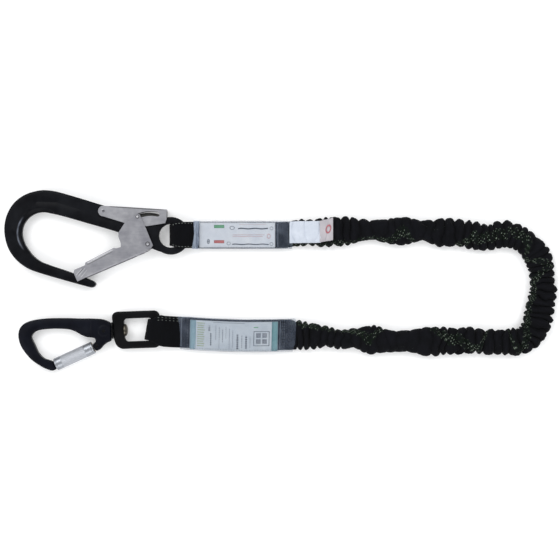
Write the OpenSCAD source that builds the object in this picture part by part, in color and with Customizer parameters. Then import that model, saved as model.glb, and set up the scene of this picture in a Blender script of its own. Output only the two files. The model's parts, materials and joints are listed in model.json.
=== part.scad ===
/* [Elastic strap] */
// Width of the gathered tubular strap
strap_w = 32; // [30:1:34]
// Height of the gathered tubular strap
strap_h = 17; // [15:1:17]
// Wall of the strap's tubular jacket
jacket_wall = 1.6; // [1.2:0.1:1.6]
// Width of the elastic core
core_w = 22; // [18:1:24]
// Thickness of the elastic core
core_t = 4; // [3:0.5:4]

/* [Webbing and sleeves] */
// Thickness of one ply of webbing
ply = 2.6; // [2:0.1:2.6]
// Width of the webbing at the scaffold hook
upper_web_w = 35; // [33:1:35]
// Width of the webbing at the carabiner
lower_web_w = 41; // [39:1:41]
// Width of the clear sleeve at the scaffold hook
upper_sleeve_w = 37.5; // [37.5:0.5:39]
// Width of the clear sleeve at the carabiner
lower_sleeve_w = 43.5; // [43.5:0.5:45]
// Thickness of the clear film
film = 0.8; // [0.6:0.1:0.8]

/* [Scaffold hook] */
// Thickness of the forged body
hook_t = 15; // [14:0.5:15]
// Thickness of the body where the gate and lever straddle it
neck_t = 11; // [10:0.5:11]
// Radius of the bowl that sits on a scaffold tube
bowl_r = 27.7; // [27.5:0.1:28]
// Outer radius of the eye
eye_r = 25; // [24.5:0.5:25.5]
// Radius of the hole in the eye
eye_hole_r = 15.6; // [15.5:0.1:16]
// Thickness of the lever's sheet metal
lever_plate = 1.8; // [1.5:0.1:1.8]
// Thickness of the gate's sheet metal
gate_plate_t = 1.6; // [1.2:0.1:1.6]
// Radius of the gate's pivot rivet
gate_rivet_r = 3; // [2.5:0.1:3]
// Radius of the lever's pivot rivet
lever_rivet_r = 2.5; // [2.2:0.1:2.5]

/* [Carabiner] */
// Thickness of the carabiner's body
carabiner_t = 12; // [11.5:0.5:12.5]
// Outer radius of the twist-lock sleeve
sleeve_r = 8; // [7.8:0.1:8]
// Radius of the gate rod inside the sleeve
rod_r = 4.8; // [4.6:0.1:4.8]
// Radius of the gate's hinge pin
hinge_pin_r = 2; // [1.8:0.1:2]

/* [Swivel] */
// Radius of the swivel pin's shank
swivel_pin_r = 4; // [3.5:0.1:4]
// Length of the rectangular eye
link_l = 62.4; // [62:0.1:63]
// Width of the rectangular eye
link_w = 49.5; // [49:0.5:50]
// Thickness of the rectangular eye
link_t = 10; // [9:0.5:10]

/* [Hidden] */

$fn = 48;
eps = 0.01;
far = 400;
play = 0.05; // radial clearance of a running fit
gap = 0.3; // side clearance between moving plates

// ---------- curves ----------

function unit(v) = v / norm(v);
function left_of(v) = [-v[1], v[0]];
function turned(v, a) = [v[0] * cos(a) - v[1] * sin(a), v[0] * sin(a) + v[1] * cos(a)];
function wrapped(pts, i) = pts[(i + len(pts)) % len(pts)];

// Point at t on the Catmull-Rom curve between b and c
function spline_at(a, b, c, d, t) =
    (2 * b + (c - a) * t + (2 * a - 5 * b + 4 * c - d) * t * t
        + (3 * b - a - 3 * c + d) * t * t * t) / 2;

// Smooth closed curve through a loop of points
function closed_curve(pts, steps) = [
    for (i = [0:len(pts) - 1], k = [0:steps - 1])
        spline_at(wrapped(pts, i - 1), pts[i], wrapped(pts, i + 1), wrapped(pts, i + 2), k / steps)
];

// A counterclockwise loop drawn in by d
function inset(pts, d) = [
    for (i = [0:len(pts) - 1]) pts[i] + d * left_of(unit(wrapped(pts, i + 1) - wrapped(pts, i - 1)))
];

// Points on a circle from angle a0 to a1
function circle_points(c, r, a0, a1, n) = [
    for (k = [0:n])
        let (a = a0 + (a1 - a0) * k / n)
            c + r * [cos(a), sin(a)]
];

// ---------- shared shapes ----------

// A plate of full thickness t whose edges step in twice, as a forging's round edge does
module forged(outline, t, round_r) {
    for (e = [[t / 2 - round_r, 0], [t / 2 - 0.3 * round_r, 0.3 * round_r], [t / 2, round_r]])
        linear_extrude(2 * e[0], center = true) polygon(inset(outline, e[1]));
}

// Rod along +X from x0 to x1
module rod_x(r, x0, x1) {
    translate([x0, 0, 0]) rotate([0, 90, 0]) cylinder(r = r, h = x1 - x0);
}

// Rivet along Z with a flat-topped head at each end: grip is the distance between the heads
module rivet(r, head_r, grip, head_h) {
    cylinder(r = r, h = grip + 2 * head_h - 1, center = true);
    for (s = [-1, 1])
        scale([1, 1, s]) translate([0, 0, grip / 2]) {
            cylinder(r = head_r, h = head_h * 0.5);
            cylinder(r = head_r * 0.75, h = head_h);
        }
}

// Tube through rings of points, each ring a closed loop of the same count
module skin(rings) {
    n = len(rings[0]);
    m = len(rings);
    pts = [for (ring = rings) for (p = ring) p];
    sides = [
        for (i = [0:m - 2], k = [0:n - 1])
            [i * n + k, i * n + (k + 1) % n, (i + 1) * n + (k + 1) % n, (i + 1) * n + k]
    ];
    caps = [[for (k = [n - 1:-1:0]) k], [for (k = [0:n - 1]) (m - 1) * n + k]];
    polyhedron(pts, concat(sides, caps), convexity = 6);
}

// Round wire along a flat path
module flat_wire(path, r) {
    last = len(path) - 1;
    sides = 8;
    skin([
        for (i = [0:last])
            let (n = left_of(unit(path[min(i + 1, last)] - path[max(i - 1, 0)])))
                [
                    for (k = [0:sides - 1])
                        let (b = -360 * k / sides, p = path[i] + r * cos(b) * n)
                            [p[0], p[1], r * sin(b)]
                ]
    ]);
}

// Coil spring along +X, from its first turn's middle at x = 0 to length l
module coil_x(r, wire_r, l, turns) {
    sides = 6;
    per_turn = 14;
    skin([
        for (i = [0:turns * per_turn])
            let (a = 360 * i / per_turn, x = l * i / (turns * per_turn))
                [
                    for (k = [0:sides - 1])
                        let (b = -360 * k / sides, q = r + wire_r * cos(b))
                            [x + wire_r * sin(b), q * cos(a), q * sin(a)]
                ]
    ]);
}

// ---------- scaffold hook: origin at the eye's centre, z = 0 at mid thickness ----------

hook_at = [2.5, 58.5, 11];
hook_outline_points = [
    [-17, 18.5], [-53.5, 29.5], [-93.5, 41.5], [-119.5, 49.5], [-143.5, 56.5], [-157, 59.5],
    [-172.5, 60], [-191, 55], [-205.5, 45], [-215, 31], [-219.5, 15], [-219, -2], [-213.5, -19],
    [-203, -33], [-188.5, -43.5], [-172.5, -49.5], [-152.5, -55.5], [-133, -61], [-113, -66.5],
    [-103.5, -68.5], [-99, -64.5], [-101.5, -60.5], [-109, -57], [-119.5, -53], [-133, -48],
    [-146, -43.5], [-159.5, -39], [-173, -33.5], [-183, -25.5], [-190, -16], [-194, -8.5],
    [-196, 3.5], [-192.2, 17], [-182.5, 26.7], [-169, 30.7], [-158.5, 29.5], [-143.5, 26],
    [-112, 17], [-68, 4], [-47, -6.5], [-26, -16.5], [-9, -21], [0.5, -6], [-5, 12]
];
hook_outline = closed_curve(hook_outline_points, 4);
bowl_at = [-169, 3.5];
neck_x = -97;
gate_pivot = [-30, -11];
lever_pivot = [-88.5, 32.5];
pin_rest = [-43.5, 25];
pin_r = 1.8;
gate_travel = 38;
lever_ratio = 0.05; // lever's turn for each degree that the gate opens
slot_half_w = 2.7;
lever_in = neck_t / 2 + gap;
lever_out = lever_in + lever_plate;
gate_in = lever_out + gap;
gate_out = gate_in + gate_plate_t;
rivet_head_h = 1.3;
spring_pocket_x = -61.5;
spring_pocket_y = 20;
spring_pocket_r = 2.7;

module at_hook() {
    translate(hook_at) children();
}

module at_xy(p) {
    translate([p[0], p[1], 0]) children();
}

// Room for the slot pin where it passes over the neck
module pin_relief() {
    clear_r = norm(pin_rest - gate_pivot) - pin_r - 1.4;
    difference() {
        translate([-51, 12, -far / 2]) cube([28, 40, far]);
        at_xy(gate_pivot) cylinder(r = clear_r, h = far, center = true);
    }
}

module hook_body() {
    color("#17181c") at_hook() difference() {
        union() {
            difference() {
                forged(hook_outline, hook_t, 2);
                for (s = [-1, 1])
                    translate([neck_x, -far / 2, s > 0 ? neck_t / 2 : -far - neck_t / 2]) cube(far);
                pin_relief();
            }
            rotate_extrude() polygon([
                [1, -neck_t / 2], [eye_r - 2.5, -neck_t / 2], [eye_r - 0.7, -neck_t / 2 + 0.8],
                [eye_r, -neck_t / 2 + 2.6], [eye_r, neck_t / 2 - 2.6], [eye_r - 0.7, neck_t / 2 - 0.8],
                [eye_r - 2.5, neck_t / 2], [1, neck_t / 2]
            ]);
        }
        cylinder(r = eye_hole_r, h = far, center = true, $fn = 96);
        for (s = [-1, 1])
            scale([1, 1, s]) translate([0, 0, neck_t / 2 - 1])
                cylinder(r1 = eye_hole_r - eps, r2 = eye_hole_r + 1, h = 1 + eps);
        at_xy(bowl_at) cylinder(r = bowl_r, h = far, center = true, $fn = 96);
        at_xy(gate_pivot) cylinder(r = gate_rivet_r, h = far, center = true);
        at_xy(lever_pivot) cylinder(r = lever_rivet_r, h = far, center = true);
        translate([spring_pocket_x, spring_pocket_y, 0]) rotate([-90, 0, 0])
            cylinder(r = spring_pocket_r, h = 40);
    }
}

gate_outline = concat(
    circle_points(pin_rest, 3.9, 25, 155, 8),
    [
        [-60, 17], [-68.5, 4], [-68.5, -2], [-65.5, -9.5], [-65.5, -15], [-72, -17], [-74.5, -16],
        [-112, -35.5], [-112.5, -39], [-126.5, -45], [-127.5, -49], [-122.5, -60.5], [-80, -40],
        [-26, -17], [-23, -13], [-33.5, 12.5]
    ]
);
web_left = [-103, -51.1];
web_right = [-50, -27.2];

// The strip that joins the gate's two side plates along the outer edge of its arm
module gate_web() {
    along = unit(web_right - web_left);
    up = left_of(along);
    linear_extrude(2 * gate_in + 0.4, center = true) polygon([
        web_left, web_right, web_right + gate_plate_t * up, web_left + gate_plate_t * up
    ]);
}

module hook_gate() {
    color("#b4b5ba") at_hook() {
        for (s = [-1, 1])
            translate([0, 0, s > 0 ? gate_in : -gate_out]) linear_extrude(gate_plate_t) difference() {
                polygon(gate_outline);
                translate(gate_pivot) circle(gate_rivet_r + play);
                translate(pin_rest) circle(pin_r);
            }
        gate_web();
    }
}

// Where the slot pin is, seen by the lever, when the gate has opened by a degrees
function pin_in_lever(a) =
    lever_pivot + turned(gate_pivot + turned(pin_rest - gate_pivot, -a) - lever_pivot, a * lever_ratio);

module pin_slot() {
    last = 19;
    path = [for (i = [0:last]) pin_in_lever(-5 + (gate_travel + 7) * i / last)];
    side = [for (i = [0:last]) left_of(unit(path[min(i + 1, last)] - path[max(i - 1, 0)]))];
    polygon(concat(
        [for (i = [0:last]) path[i] + (slot_half_w + 0.9) * side[i]],
        [for (i = [last:-1:0]) path[i] - slot_half_w * side[i]]
    ));
    translate(path[0]) circle(slot_half_w);
    translate(path[last]) circle(slot_half_w);
}

lever_end_r = 7;
lever_top_left = [-72, 38.5];
lever_top_right = [-5, 34.5];

module lever_side() {
    difference() {
        union() {
            polygon([
                [-88.5, 39.5], [-92.5, 26.7], [-61, 17], [-31.5, 12.5], [-7, 16.5], [-5.2, 22],
                lever_top_right
            ]);
            translate(lever_pivot) circle(lever_end_r);
        }
        translate(lever_pivot) circle(lever_rivet_r + play);
        pin_slot();
    }
}

module lock_lever() {
    color("#9a9ba1") at_hook() {
        for (s = [-1, 1])
            translate([0, 0, s > 0 ? lever_in : -lever_out]) linear_extrude(lever_plate) lever_side();
        down = [0, -lever_plate];
        linear_extrude(2 * lever_in + 0.4, center = true) polygon([
            lever_top_left, lever_top_left + down, lever_top_right + down, lever_top_right
        ]);
    }
}

module gate_pivot_rivet() {
    color("#b9b9bd") at_hook() at_xy(gate_pivot)
        rivet(gate_rivet_r, 3.9, 2 * gate_out + 0.1, rivet_head_h);
}

module lever_pivot_rivet() {
    color("#8d8e93") at_hook() at_xy(lever_pivot)
        rivet(lever_rivet_r, 3.4, 2 * lever_out + 0.2, rivet_head_h);
}

module slot_pin() {
    color("#d0d0d4") at_hook() at_xy(pin_rest) rivet(pin_r, 3, 2 * gate_out + 0.02, rivet_head_h);
}

// Double torsion spring: one turn on the rivet at each side, a leg along each side plate
module hook_gate_spring() {
    wire_r = 0.8;
    coil_r = gate_rivet_r + 0.4 + wire_r;
    turn = circle_points(gate_pivot, coil_r, 230, -85, 20);
    leg = [[-34.5, -21.3], [-39, -21.3], [-44.5, -26.4], [-50, -23.9], [-62, -28.9], [-72, -33.3]];
    color("#8f9196") at_hook() for (s = [-1, 1])
        translate([0, 0, s * (neck_t / 2 + 1.2)]) flat_wire(concat(turn, leg), wire_r);
}

module lever_spring() {
    color("#a9abb0") at_hook() translate([spring_pocket_x, spring_pocket_y + 0.6, 0])
        rotate([0, 0, 90]) coil_x(2, 0.4, 14.6, 8);
}

// ---------- swivel and carabiner: origin at the swivel, z = 0 at mid thickness ----------

swivel_at = [-77, -67, 8.5];
link_tilt = 2;
washer_x = 0.9;
washer_t = 1.6;
washer_r = 11;
washer_h = 15.6; // across its two flats
link_x = 2.7;
link_bar = 14.8; // bar that the swivel pin runs in
link_end = 10.6; // bar that the webbing is looped on
window_half_w = 15.2;

module at_swivel() {
    translate(swivel_at) children();
}

module at_link() {
    at_swivel() rotate([0, 0, link_tilt]) children();
}

carabiner_outline = closed_curve([
    [0.2, 9], [-5.5, 13], [-12.5, 15.2], [-27, 16], [-41.5, 16], [-57, 16.5], [-72, 16.5], [-87, 16],
    [-102, 14], [-113.5, 10], [-120.5, 3], [-122.5, -6.5], [-120.5, -17], [-115, -27], [-105, -38.5],
    [-92, -47.5], [-83.5, -51.5], [-77, -53], [-72.6, -50.5], [-74.4, -46], [-77, -41.2],
    [-82.5, -38.8], [-89, -36.5], [-96, -29], [-101, -18], [-105, -9.5], [-103, -4], [-97, 0],
    [-84, 2], [-70, 2.5], [-55.5, 1.5], [-46.5, -1.5], [-39.5, -5.5], [-32, -8.5], [-21.5, -10],
    [-20, -15], [-20.5, -19.5], [-20.8, -23.5], [-19, -26.6], [-14.5, -25], [-9, -19], [-4, -15.5],
    [0.2, -13], [0.4, -2]
], 4);
hinge_at = [-18.5, -20];
gate_angle = 204.6; // direction from the hinge to the nose
lug_r = 5;
sleeve_x0 = 5.4;
sleeve_x1 = 60.5;
tongue_t = 5.6;
tongue_r = 4.6;
root_half_w = 3.8;
nose_tongue_x = 64.5;
nose_tongue_half_w = 3;
nose_tongue_t = 3;
chamber_r = 6.6;
chamber_x1 = 54;
bush_x1 = 11;
pushrod_y = 3.1;
pushrod_r = 0.8;
spring_bore_y = 2.6;
spring_bore_r = 1.6;
spring_bore_x0 = 14;
spring_bore_x1 = 36;
boss_at = -9.2; // cross pin's place along the swivel's axis
boss_r = 6.6;
boss_rise = 1.2;
cross_pin_r = 1.5;

module at_gate() {
    at_swivel() at_xy(hinge_at) rotate([0, 0, gate_angle]) children();
}

module carabiner_body() {
    color("#1a1b1f") {
        difference() {
            union() {
                at_swivel() forged(carabiner_outline, carabiner_t, 1.4);
                at_gate() cylinder(r = lug_r, h = carabiner_t, center = true);
                at_link() translate([boss_at, 0, 0])
                    cylinder(r = boss_r, h = carabiner_t + boss_rise, center = true);
            }
            // bore of the swivel pin
            at_link() rod_x(swivel_pin_r, -15, 20);
            at_link() translate([boss_at, 0, 0]) cylinder(r = cross_pin_r, h = far, center = true);
            // hinge pin and the slot between the two lugs
            at_gate() cylinder(r = hinge_pin_r, h = far, center = true);
            at_gate() cylinder(r = 6.2, h = tongue_t + 0.4, center = true);
            // slot in the nose for the gate's tongue, open towards the inside
            at_gate() intersection() {
                cylinder(r = nose_tongue_x + 0.8, h = nose_tongue_t + 0.6, center = true);
                translate([50, nose_tongue_half_w + 0.4 - 20, -5]) cube([30, 20, 10]);
            }
        }
    }
}

module gate_rod() {
    color("#c3c5ca") at_gate() difference() {
        union() {
            intersection() {
                union() {
                    cylinder(r = tongue_r, h = tongue_t, center = true);
                    translate([0, -tongue_r, -tongue_t / 2])
                        cube([sleeve_x0 - 0.1, 2 * tongue_r, tongue_t]);
                    translate([0, -root_half_w, -tongue_t / 2])
                        cube([9, 2 * root_half_w, tongue_t]);
                }
                cube([20, 2 * tongue_r, tongue_t], center = true);
            }
            rod_x(rod_r, sleeve_x0 + 0.1, sleeve_x1 - 0.3);
            translate([sleeve_x1 - 1, -nose_tongue_half_w, -nose_tongue_t / 2])
                cube([nose_tongue_x - sleeve_x1 + 1, 2 * nose_tongue_half_w, nose_tongue_t]);
        }
        cylinder(r = hinge_pin_r + play, h = far, center = true);
        translate([0, pushrod_y, 0]) rod_x(pushrod_r + play, -10, spring_bore_x0 + 1);
        translate([0, spring_bore_y, 0]) rod_x(spring_bore_r, spring_bore_x0, spring_bore_x1);
    }
}

module gate_hinge_pin() {
    color("#77787c") at_gate() cylinder(r = hinge_pin_r, h = carabiner_t + 0.8, center = true);
}

module gate_pushrod() {
    color("#b0b2b8") at_gate() translate([0, pushrod_y, 0]) rod_x(pushrod_r, -4.6, spring_bore_x0);
}

module gate_spring() {
    color("#9fa1a7") at_gate() translate([spring_bore_x0 + 0.4, spring_bore_y, 0])
        coil_x(1.2, 0.3, 20.8, 9);
}

module lock_sleeve() {
    chamfer = 0.8;
    color("#cfd2d8") at_gate() rotate([0, 90, 0]) rotate_extrude($fn = 72) polygon([
        [chamber_r, sleeve_x0], [sleeve_r - chamfer, sleeve_x0], [sleeve_r, sleeve_x0 + chamfer],
        [sleeve_r, sleeve_x1 - chamfer], [sleeve_r - chamfer, sleeve_x1], [rod_r + 0.1, sleeve_x1],
        [rod_r + 0.1, chamber_x1], [chamber_r, chamber_x1]
    ]);
}

module sleeve_bush() {
    color("#c2a15a") at_gate() difference() {
        rod_x(chamber_r, sleeve_x0, bush_x1);
        rod_x(rod_r + 0.1, sleeve_x0 - 1, bush_x1 + 1);
    }
}

module sleeve_spring() {
    color("#8c8e94") at_gate() translate([bush_x1 + 1, 0, 0])
        coil_x(5.7, 0.6, chamber_x1 - bush_x1 - 2, 12);
}

module swivel_pin() {
    head_x = link_x + link_bar + 0.2;
    head_r = 8.2;
    head_h = 4.8;
    color("#5c5549") at_link() difference() {
        union() {
            rod_x(swivel_pin_r, -14, head_x + 1);
            translate([head_x, 0, 0]) rotate([0, 90, 0]) rotate_extrude() polygon(concat(
                [[0, 0], [head_r, 0], [head_r, 1]],
                [for (a = [15:15:75]) [head_r * cos(a), 1 + (head_h - 1) * sin(a)]],
                [[0, head_h]]
            ));
        }
        translate([boss_at, 0, 0]) cylinder(r = cross_pin_r, h = far, center = true);
    }
}

module swivel_cross_pin() {
    color("#2a2a2c") at_link() translate([boss_at, 0, 0])
        rivet(cross_pin_r, 3.2, carabiner_t + boss_rise, 0.6);
}

module swivel_washer() {
    color("#2b2c30") at_link() difference() {
        intersection() {
            rod_x(washer_r, washer_x, washer_x + washer_t);
            cube([far, far, washer_h], center = true);
        }
        rod_x(swivel_pin_r, washer_x - 1, washer_x + washer_t + 1);
    }
}

module rounded_box(l, w, t, r) {
    linear_extrude(t, center = true) union() {
        translate([r, -w / 2]) square([l - 2 * r, w]);
        translate([0, r - w / 2]) square([l, w - 2 * r]);
        for (x = [r, l - r], y = [r - w / 2, w / 2 - r]) translate([x, y]) circle(r);
    }
}

module swivel_eye() {
    window_l = link_l - link_bar - link_end;
    color("#151618") at_link() difference() {
        translate([link_x, 0, 0]) union() {
            rounded_box(link_l, link_w, link_t - 4, 8);
            translate([0.6, 0, 0]) rounded_box(link_l - 1.2, link_w - 1.2, link_t - 1.6, 7.6);
            translate([2, 0, 0]) rounded_box(link_l - 4, link_w - 4, link_t, 6.6);
        }
        translate([link_x + link_bar, 0, 0]) rounded_box(window_l, 2 * window_half_w, far, 4);
        rod_x(swivel_pin_r + play, 0, link_x + link_bar + 1);
    }
}

// ---------- webbing at the scaffold hook ----------

web_y = 59.5;
web_z = 6; // middle of the two plies inside the sleeve
fold_r = 6; // inside radius of the loop's fold
upper_fold_x = 0.5 + fold_r + ply;
upper_flat_x = 42;
upper_web_end = 149;

// Side view of two plies that leave a fold at x0, run level to x1 and lie flat together from x2 to x3
module loop_side(x0, x1, x2, x3, z_fold, r) {
    difference() {
        union() {
            translate([x0, z_fold]) circle(r + ply);
            polygon([
                [x0, z_fold - r - ply], [x1, z_fold - r - ply], [x2, web_z - ply], [x3, web_z - ply],
                [x3, web_z + ply], [x2, web_z + ply], [x1, z_fold + r + ply], [x0, z_fold + r + ply]
            ]);
        }
        translate([x0, z_fold]) circle(r);
        polygon([
            [x0, z_fold - r], [x1, z_fold - r], [x2 - 2, web_z], [x1, z_fold + r], [x0, z_fold + r]
        ]);
    }
}

// Stands a side view up along Y
module along_y(w) {
    rotate([90, 0, 0]) linear_extrude(w, center = true) children();
}

module upper_webbing() {
    half = upper_web_w / 2;
    neck = eye_hole_r - 1;
    color("#141519") intersection() {
        translate([0, web_y, 0]) along_y(upper_web_w + 10)
            loop_side(upper_fold_x, 28, upper_flat_x, upper_web_end, hook_at[2], fold_r);
        linear_extrude(60) polygon([
            [-5, hook_at[1] - neck], [9, hook_at[1] - neck], [14, web_y - half], [far, web_y - half],
            [far, web_y + half], [14, web_y + half], [9, hook_at[1] + neck], [-5, hook_at[1] + neck]
        ]);
    }
}

// Bars of thread across the plies
module bar_tacks(x0, x1, count, w) {
    for (i = [0:count - 1])
        translate([x0 + (x1 - x0) * i / (count - 1) - 0.6, -w / 2, web_z + ply]) cube([1.2, w, 0.5]);
}

module upper_stitching() {
    color("#c9d2c0") translate([0, web_y, 0]) bar_tacks(48, 144, 9, upper_web_w - 5);
}

upper_sleeve_x0 = 31.5;
upper_sleeve_x1 = 161.5;
sleeve_top = 11.6;
sleeve_bottom = 0.4;

// Flattened tube of film whose first end is opened to height lift over the length slope
module clear_sleeve(x0, x1, w, lift, slope) {
    difference() {
        along_y(w) polygon([
            [x0, sleeve_bottom], [x1, sleeve_bottom], [x1, sleeve_top],
            [x0 + slope, sleeve_top], [x0, lift]
        ]);
        along_y(w - 2 * film) polygon([
            [x0 - eps, sleeve_bottom + film], [x1 + eps, sleeve_bottom + film],
            [x1 + eps, sleeve_top - film], [x0 + slope, sleeve_top - film], [x0 - eps, lift - film]
        ]);
    }
}

module upper_sleeve() {
    color("#7f8a9a", 0.35) translate([0, web_y + 0.3, 0])
        clear_sleeve(upper_sleeve_x0, upper_sleeve_x1, upper_sleeve_w, 19.6, 12.5);
}

label_z = 9.7;
label_t = 0.5;

module upper_label() {
    color("#eef1f4") translate([41.5, web_y - 16.2, label_z]) cube([99, 33, label_t]);
}

// ---------- elastic strap ----------

jacket_route = [
    [150, 60], [160, 60.5], [166, 61.5], [176, 62.5], [197, 63], [218, 64], [242, 65], [266, 67],
    [289, 65], [313, 65], [337, 65], [361, 63], [382, 62], [403, 58], [424, 57], [443, 60],
    [458, 57], [473, 49], [485, 36], [492, 20], [494, 1], [495, -16], [492, -34], [489, -51],
    [483, -67], [472, -79], [456, -83], [435, -82], [411, -81], [387, -81], [363, -81], [340, -81],
    [316, -81], [292, -81], [268, -79], [247, -77], [226, -78], [205, -75], [184, -74], [171, -73],
    [166, -73], [154, -73]
];
last_ring = len(jacket_route) - 1;
flat_h = 8; // height of the strap where it is sewn flat inside a sleeve
strap_sides = 12;

// 0 where the strap is sewn flat, 1 where it is gathered
function fullness(i) = min([1, max([0, (min([i, last_ring - i]) - 1) / 2])]);
function strap_height(i) = flat_h + (strap_h - flat_h) * fullness(i);
function strap_z(i) = web_z + (strap_h / 2 + 0.5 - web_z) * fullness(i);
function strap_normal(i) =
    left_of(unit(jacket_route[min(i + 1, last_ring)] - jacket_route[max(i - 1, 0)]));
function strap_ring(i, w, h) = [
    for (k = [0:strap_sides - 1])
        let (a = -360 * k / strap_sides, p = jacket_route[i] + w / 2 * cos(a) * strap_normal(i))
            [p[0], p[1], strap_z(i) + h / 2 * sin(a)]
];

module elastic_jacket() {
    wall = 2 * jacket_wall;
    color("#101114") difference() {
        skin([for (i = [0:last_ring]) strap_ring(i, strap_w, strap_height(i))]);
        skin([
            for (i = [0:last_ring])
                let (open = [i == 0 || i == last_ring ? -0.5 : 0, 0, 0])
                    [for (p = strap_ring(i, strap_w - wall, strap_height(i) - wall)) p + open]
        ]);
    }
}

module elastic_core() {
    color("#d9d4c4") skin([for (i = [0:last_ring]) strap_ring(i, core_w, core_t)]);
}

flap_t = 0.6;

// White cloth label that lies on the start of the strap
module white_flap() {
    top = strap_h + 0.8;
    color("#e8edf3") translate([0, 63.5, 0]) along_y(29) polygon([
        [162, 14], [168, 16.4], [174, top], [199, top], [199, top + flap_t], [174, top + flap_t],
        [168, 16.4 + flap_t], [162, 14 + flap_t]
    ]);
}

module marker_tab() {
    color("#c4bfc4") translate([199.3, 53, strap_h + 0.8]) linear_extrude(flap_t)
        polygon([[0, 1], [17, 0], [18, 30], [0, 29]]);
}

// ---------- webbing at the carabiner ----------

lower_y = -69;
lower_turn = -1.2;
lower_fold_r = 5.5;
lower_fold_x = -29.5 + lower_fold_r + ply;
lower_loop_x = -8;
lower_flat_x = 9;
lower_web_end = 152;
lower_sleeve_x0 = 12.5;
lower_sleeve_x1 = 165.5;

// Frame of the webbing beyond the link: x as the whole object's, y = 0 along the webbing's middle
module at_lower() {
    translate([0, lower_y, 0]) rotate([0, 0, lower_turn]) children();
}

module lower_webbing() {
    bar_y = 3.1;
    neck = window_half_w - 2.2;
    half = lower_web_w / 2;
    color("#141519") at_lower() intersection() {
        along_y(80)
            loop_side(lower_fold_x, lower_loop_x, lower_flat_x, lower_web_end, swivel_at[2],
                lower_fold_r);
        linear_extrude(60) polygon([
            [-40, bar_y - neck], [-20, bar_y - neck], [-8, -21], [12, -half], [far, -half], [far, half],
            [12, half], [-8, 23], [-20, bar_y + neck], [-40, bar_y + neck]
        ]);
    }
}

module lower_stitching() {
    color("#c9d2c0") at_lower() bar_tacks(16, 147, 11, lower_web_w - 5);
}

module lower_sleeve() {
    color("#7f8a9a", 0.35) at_lower()
        clear_sleeve(lower_sleeve_x0, lower_sleeve_x1, lower_sleeve_w, sleeve_top + 1, 8);
}

module lower_label() {
    color("#b9d3d8") at_lower() translate([27.5, -19.5, label_z]) cube([116.5, 39, label_t]);
}

hook_body();
hook_gate();
lock_lever();
gate_pivot_rivet();
lever_pivot_rivet();
slot_pin();
hook_gate_spring();
lever_spring();
carabiner_body();
gate_rod();
gate_hinge_pin();
gate_pushrod();
gate_spring();
lock_sleeve();
sleeve_bush();
sleeve_spring();
swivel_pin();
swivel_cross_pin();
swivel_washer();
swivel_eye();
upper_webbing();
upper_stitching();
upper_sleeve();
upper_label();
white_flap();
marker_tab();
elastic_jacket();
elastic_core();
lower_webbing();
lower_stitching();
lower_sleeve();
lower_label();
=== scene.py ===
import json
import math

import bpy
import numpy as np
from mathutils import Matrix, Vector, noise

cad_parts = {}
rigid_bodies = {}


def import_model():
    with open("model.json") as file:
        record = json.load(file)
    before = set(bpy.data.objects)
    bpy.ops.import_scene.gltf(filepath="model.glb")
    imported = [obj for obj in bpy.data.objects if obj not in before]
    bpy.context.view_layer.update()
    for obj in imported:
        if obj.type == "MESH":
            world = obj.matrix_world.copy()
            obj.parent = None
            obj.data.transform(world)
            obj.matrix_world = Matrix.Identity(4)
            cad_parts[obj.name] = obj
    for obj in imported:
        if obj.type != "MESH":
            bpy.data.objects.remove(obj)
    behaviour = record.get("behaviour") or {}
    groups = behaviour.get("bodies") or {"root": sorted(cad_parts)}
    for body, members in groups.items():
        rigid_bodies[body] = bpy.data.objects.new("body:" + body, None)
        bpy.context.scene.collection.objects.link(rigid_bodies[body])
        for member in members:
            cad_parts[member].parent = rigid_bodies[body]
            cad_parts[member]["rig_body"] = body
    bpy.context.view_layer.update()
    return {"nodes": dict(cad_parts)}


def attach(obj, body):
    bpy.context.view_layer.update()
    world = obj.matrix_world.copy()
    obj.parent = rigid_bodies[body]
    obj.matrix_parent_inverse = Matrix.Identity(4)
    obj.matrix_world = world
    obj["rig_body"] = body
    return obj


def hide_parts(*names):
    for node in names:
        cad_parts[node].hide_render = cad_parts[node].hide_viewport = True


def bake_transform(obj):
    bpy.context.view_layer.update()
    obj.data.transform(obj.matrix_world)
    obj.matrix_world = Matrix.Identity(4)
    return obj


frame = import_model()
NODES = frame["nodes"]
MM = 0.001

# Places from the part's source, in millimetres
HOOK = np.array([2.5, 58.5, 11.0])
SWIVEL = np.array([-77.0, -67.0, 8.5])
HINGE = np.array([-18.5, -20.0, 0.0])
GATE_ANGLE = 204.6
LOWER_TURN = -1.2
LOWER_Y = -69.0
LOWER_BOW = 2.2
WEB_Y = 59.5
ROUTE = [
    (150, 60), (160, 60.5), (166, 61.5), (176, 62.5), (197, 63), (218, 64), (242, 65), (266, 67),
    (289, 65), (313, 65), (337, 65), (361, 63), (382, 62), (403, 58), (424, 57), (443, 60),
    (458, 57), (473, 49), (485, 36), (492, 20), (494, 1), (495, -16), (492, -34), (489, -51),
    (483, -67), (472, -79), (456, -83), (435, -82), (411, -81), (387, -81), (363, -81), (340, -81),
    (316, -81), (292, -81), (268, -79), (247, -77), (226, -78), (205, -75), (184, -74), (171, -73),
    (166, -73), (154, -73),
]


def turned(p, degrees):
    c, s = math.cos(math.radians(degrees)), math.sin(math.radians(degrees))
    p = np.atleast_2d(np.asarray(p, float))
    return np.column_stack([p[:, 0] * c - p[:, 1] * s, p[:, 0] * s + p[:, 1] * c, p[:, 2]])


def at_hook(p):
    return np.atleast_2d(np.asarray(p, float)) + HOOK


def at_gate(p):
    return turned(p, GATE_ANGLE) + HINGE + SWIVEL


def at_lower(p):
    """Along the webbing at the carabiner, which bows a little in the middle."""
    p = np.atleast_2d(np.array(p, float))
    p[:, 1] -= LOWER_BOW * np.sin(math.pi * np.clip((p[:, 0] - 12) / 153, 0, 1))
    return turned(p, LOWER_TURN) + [0, LOWER_Y, 0]


# ---------- camera ----------

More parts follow.
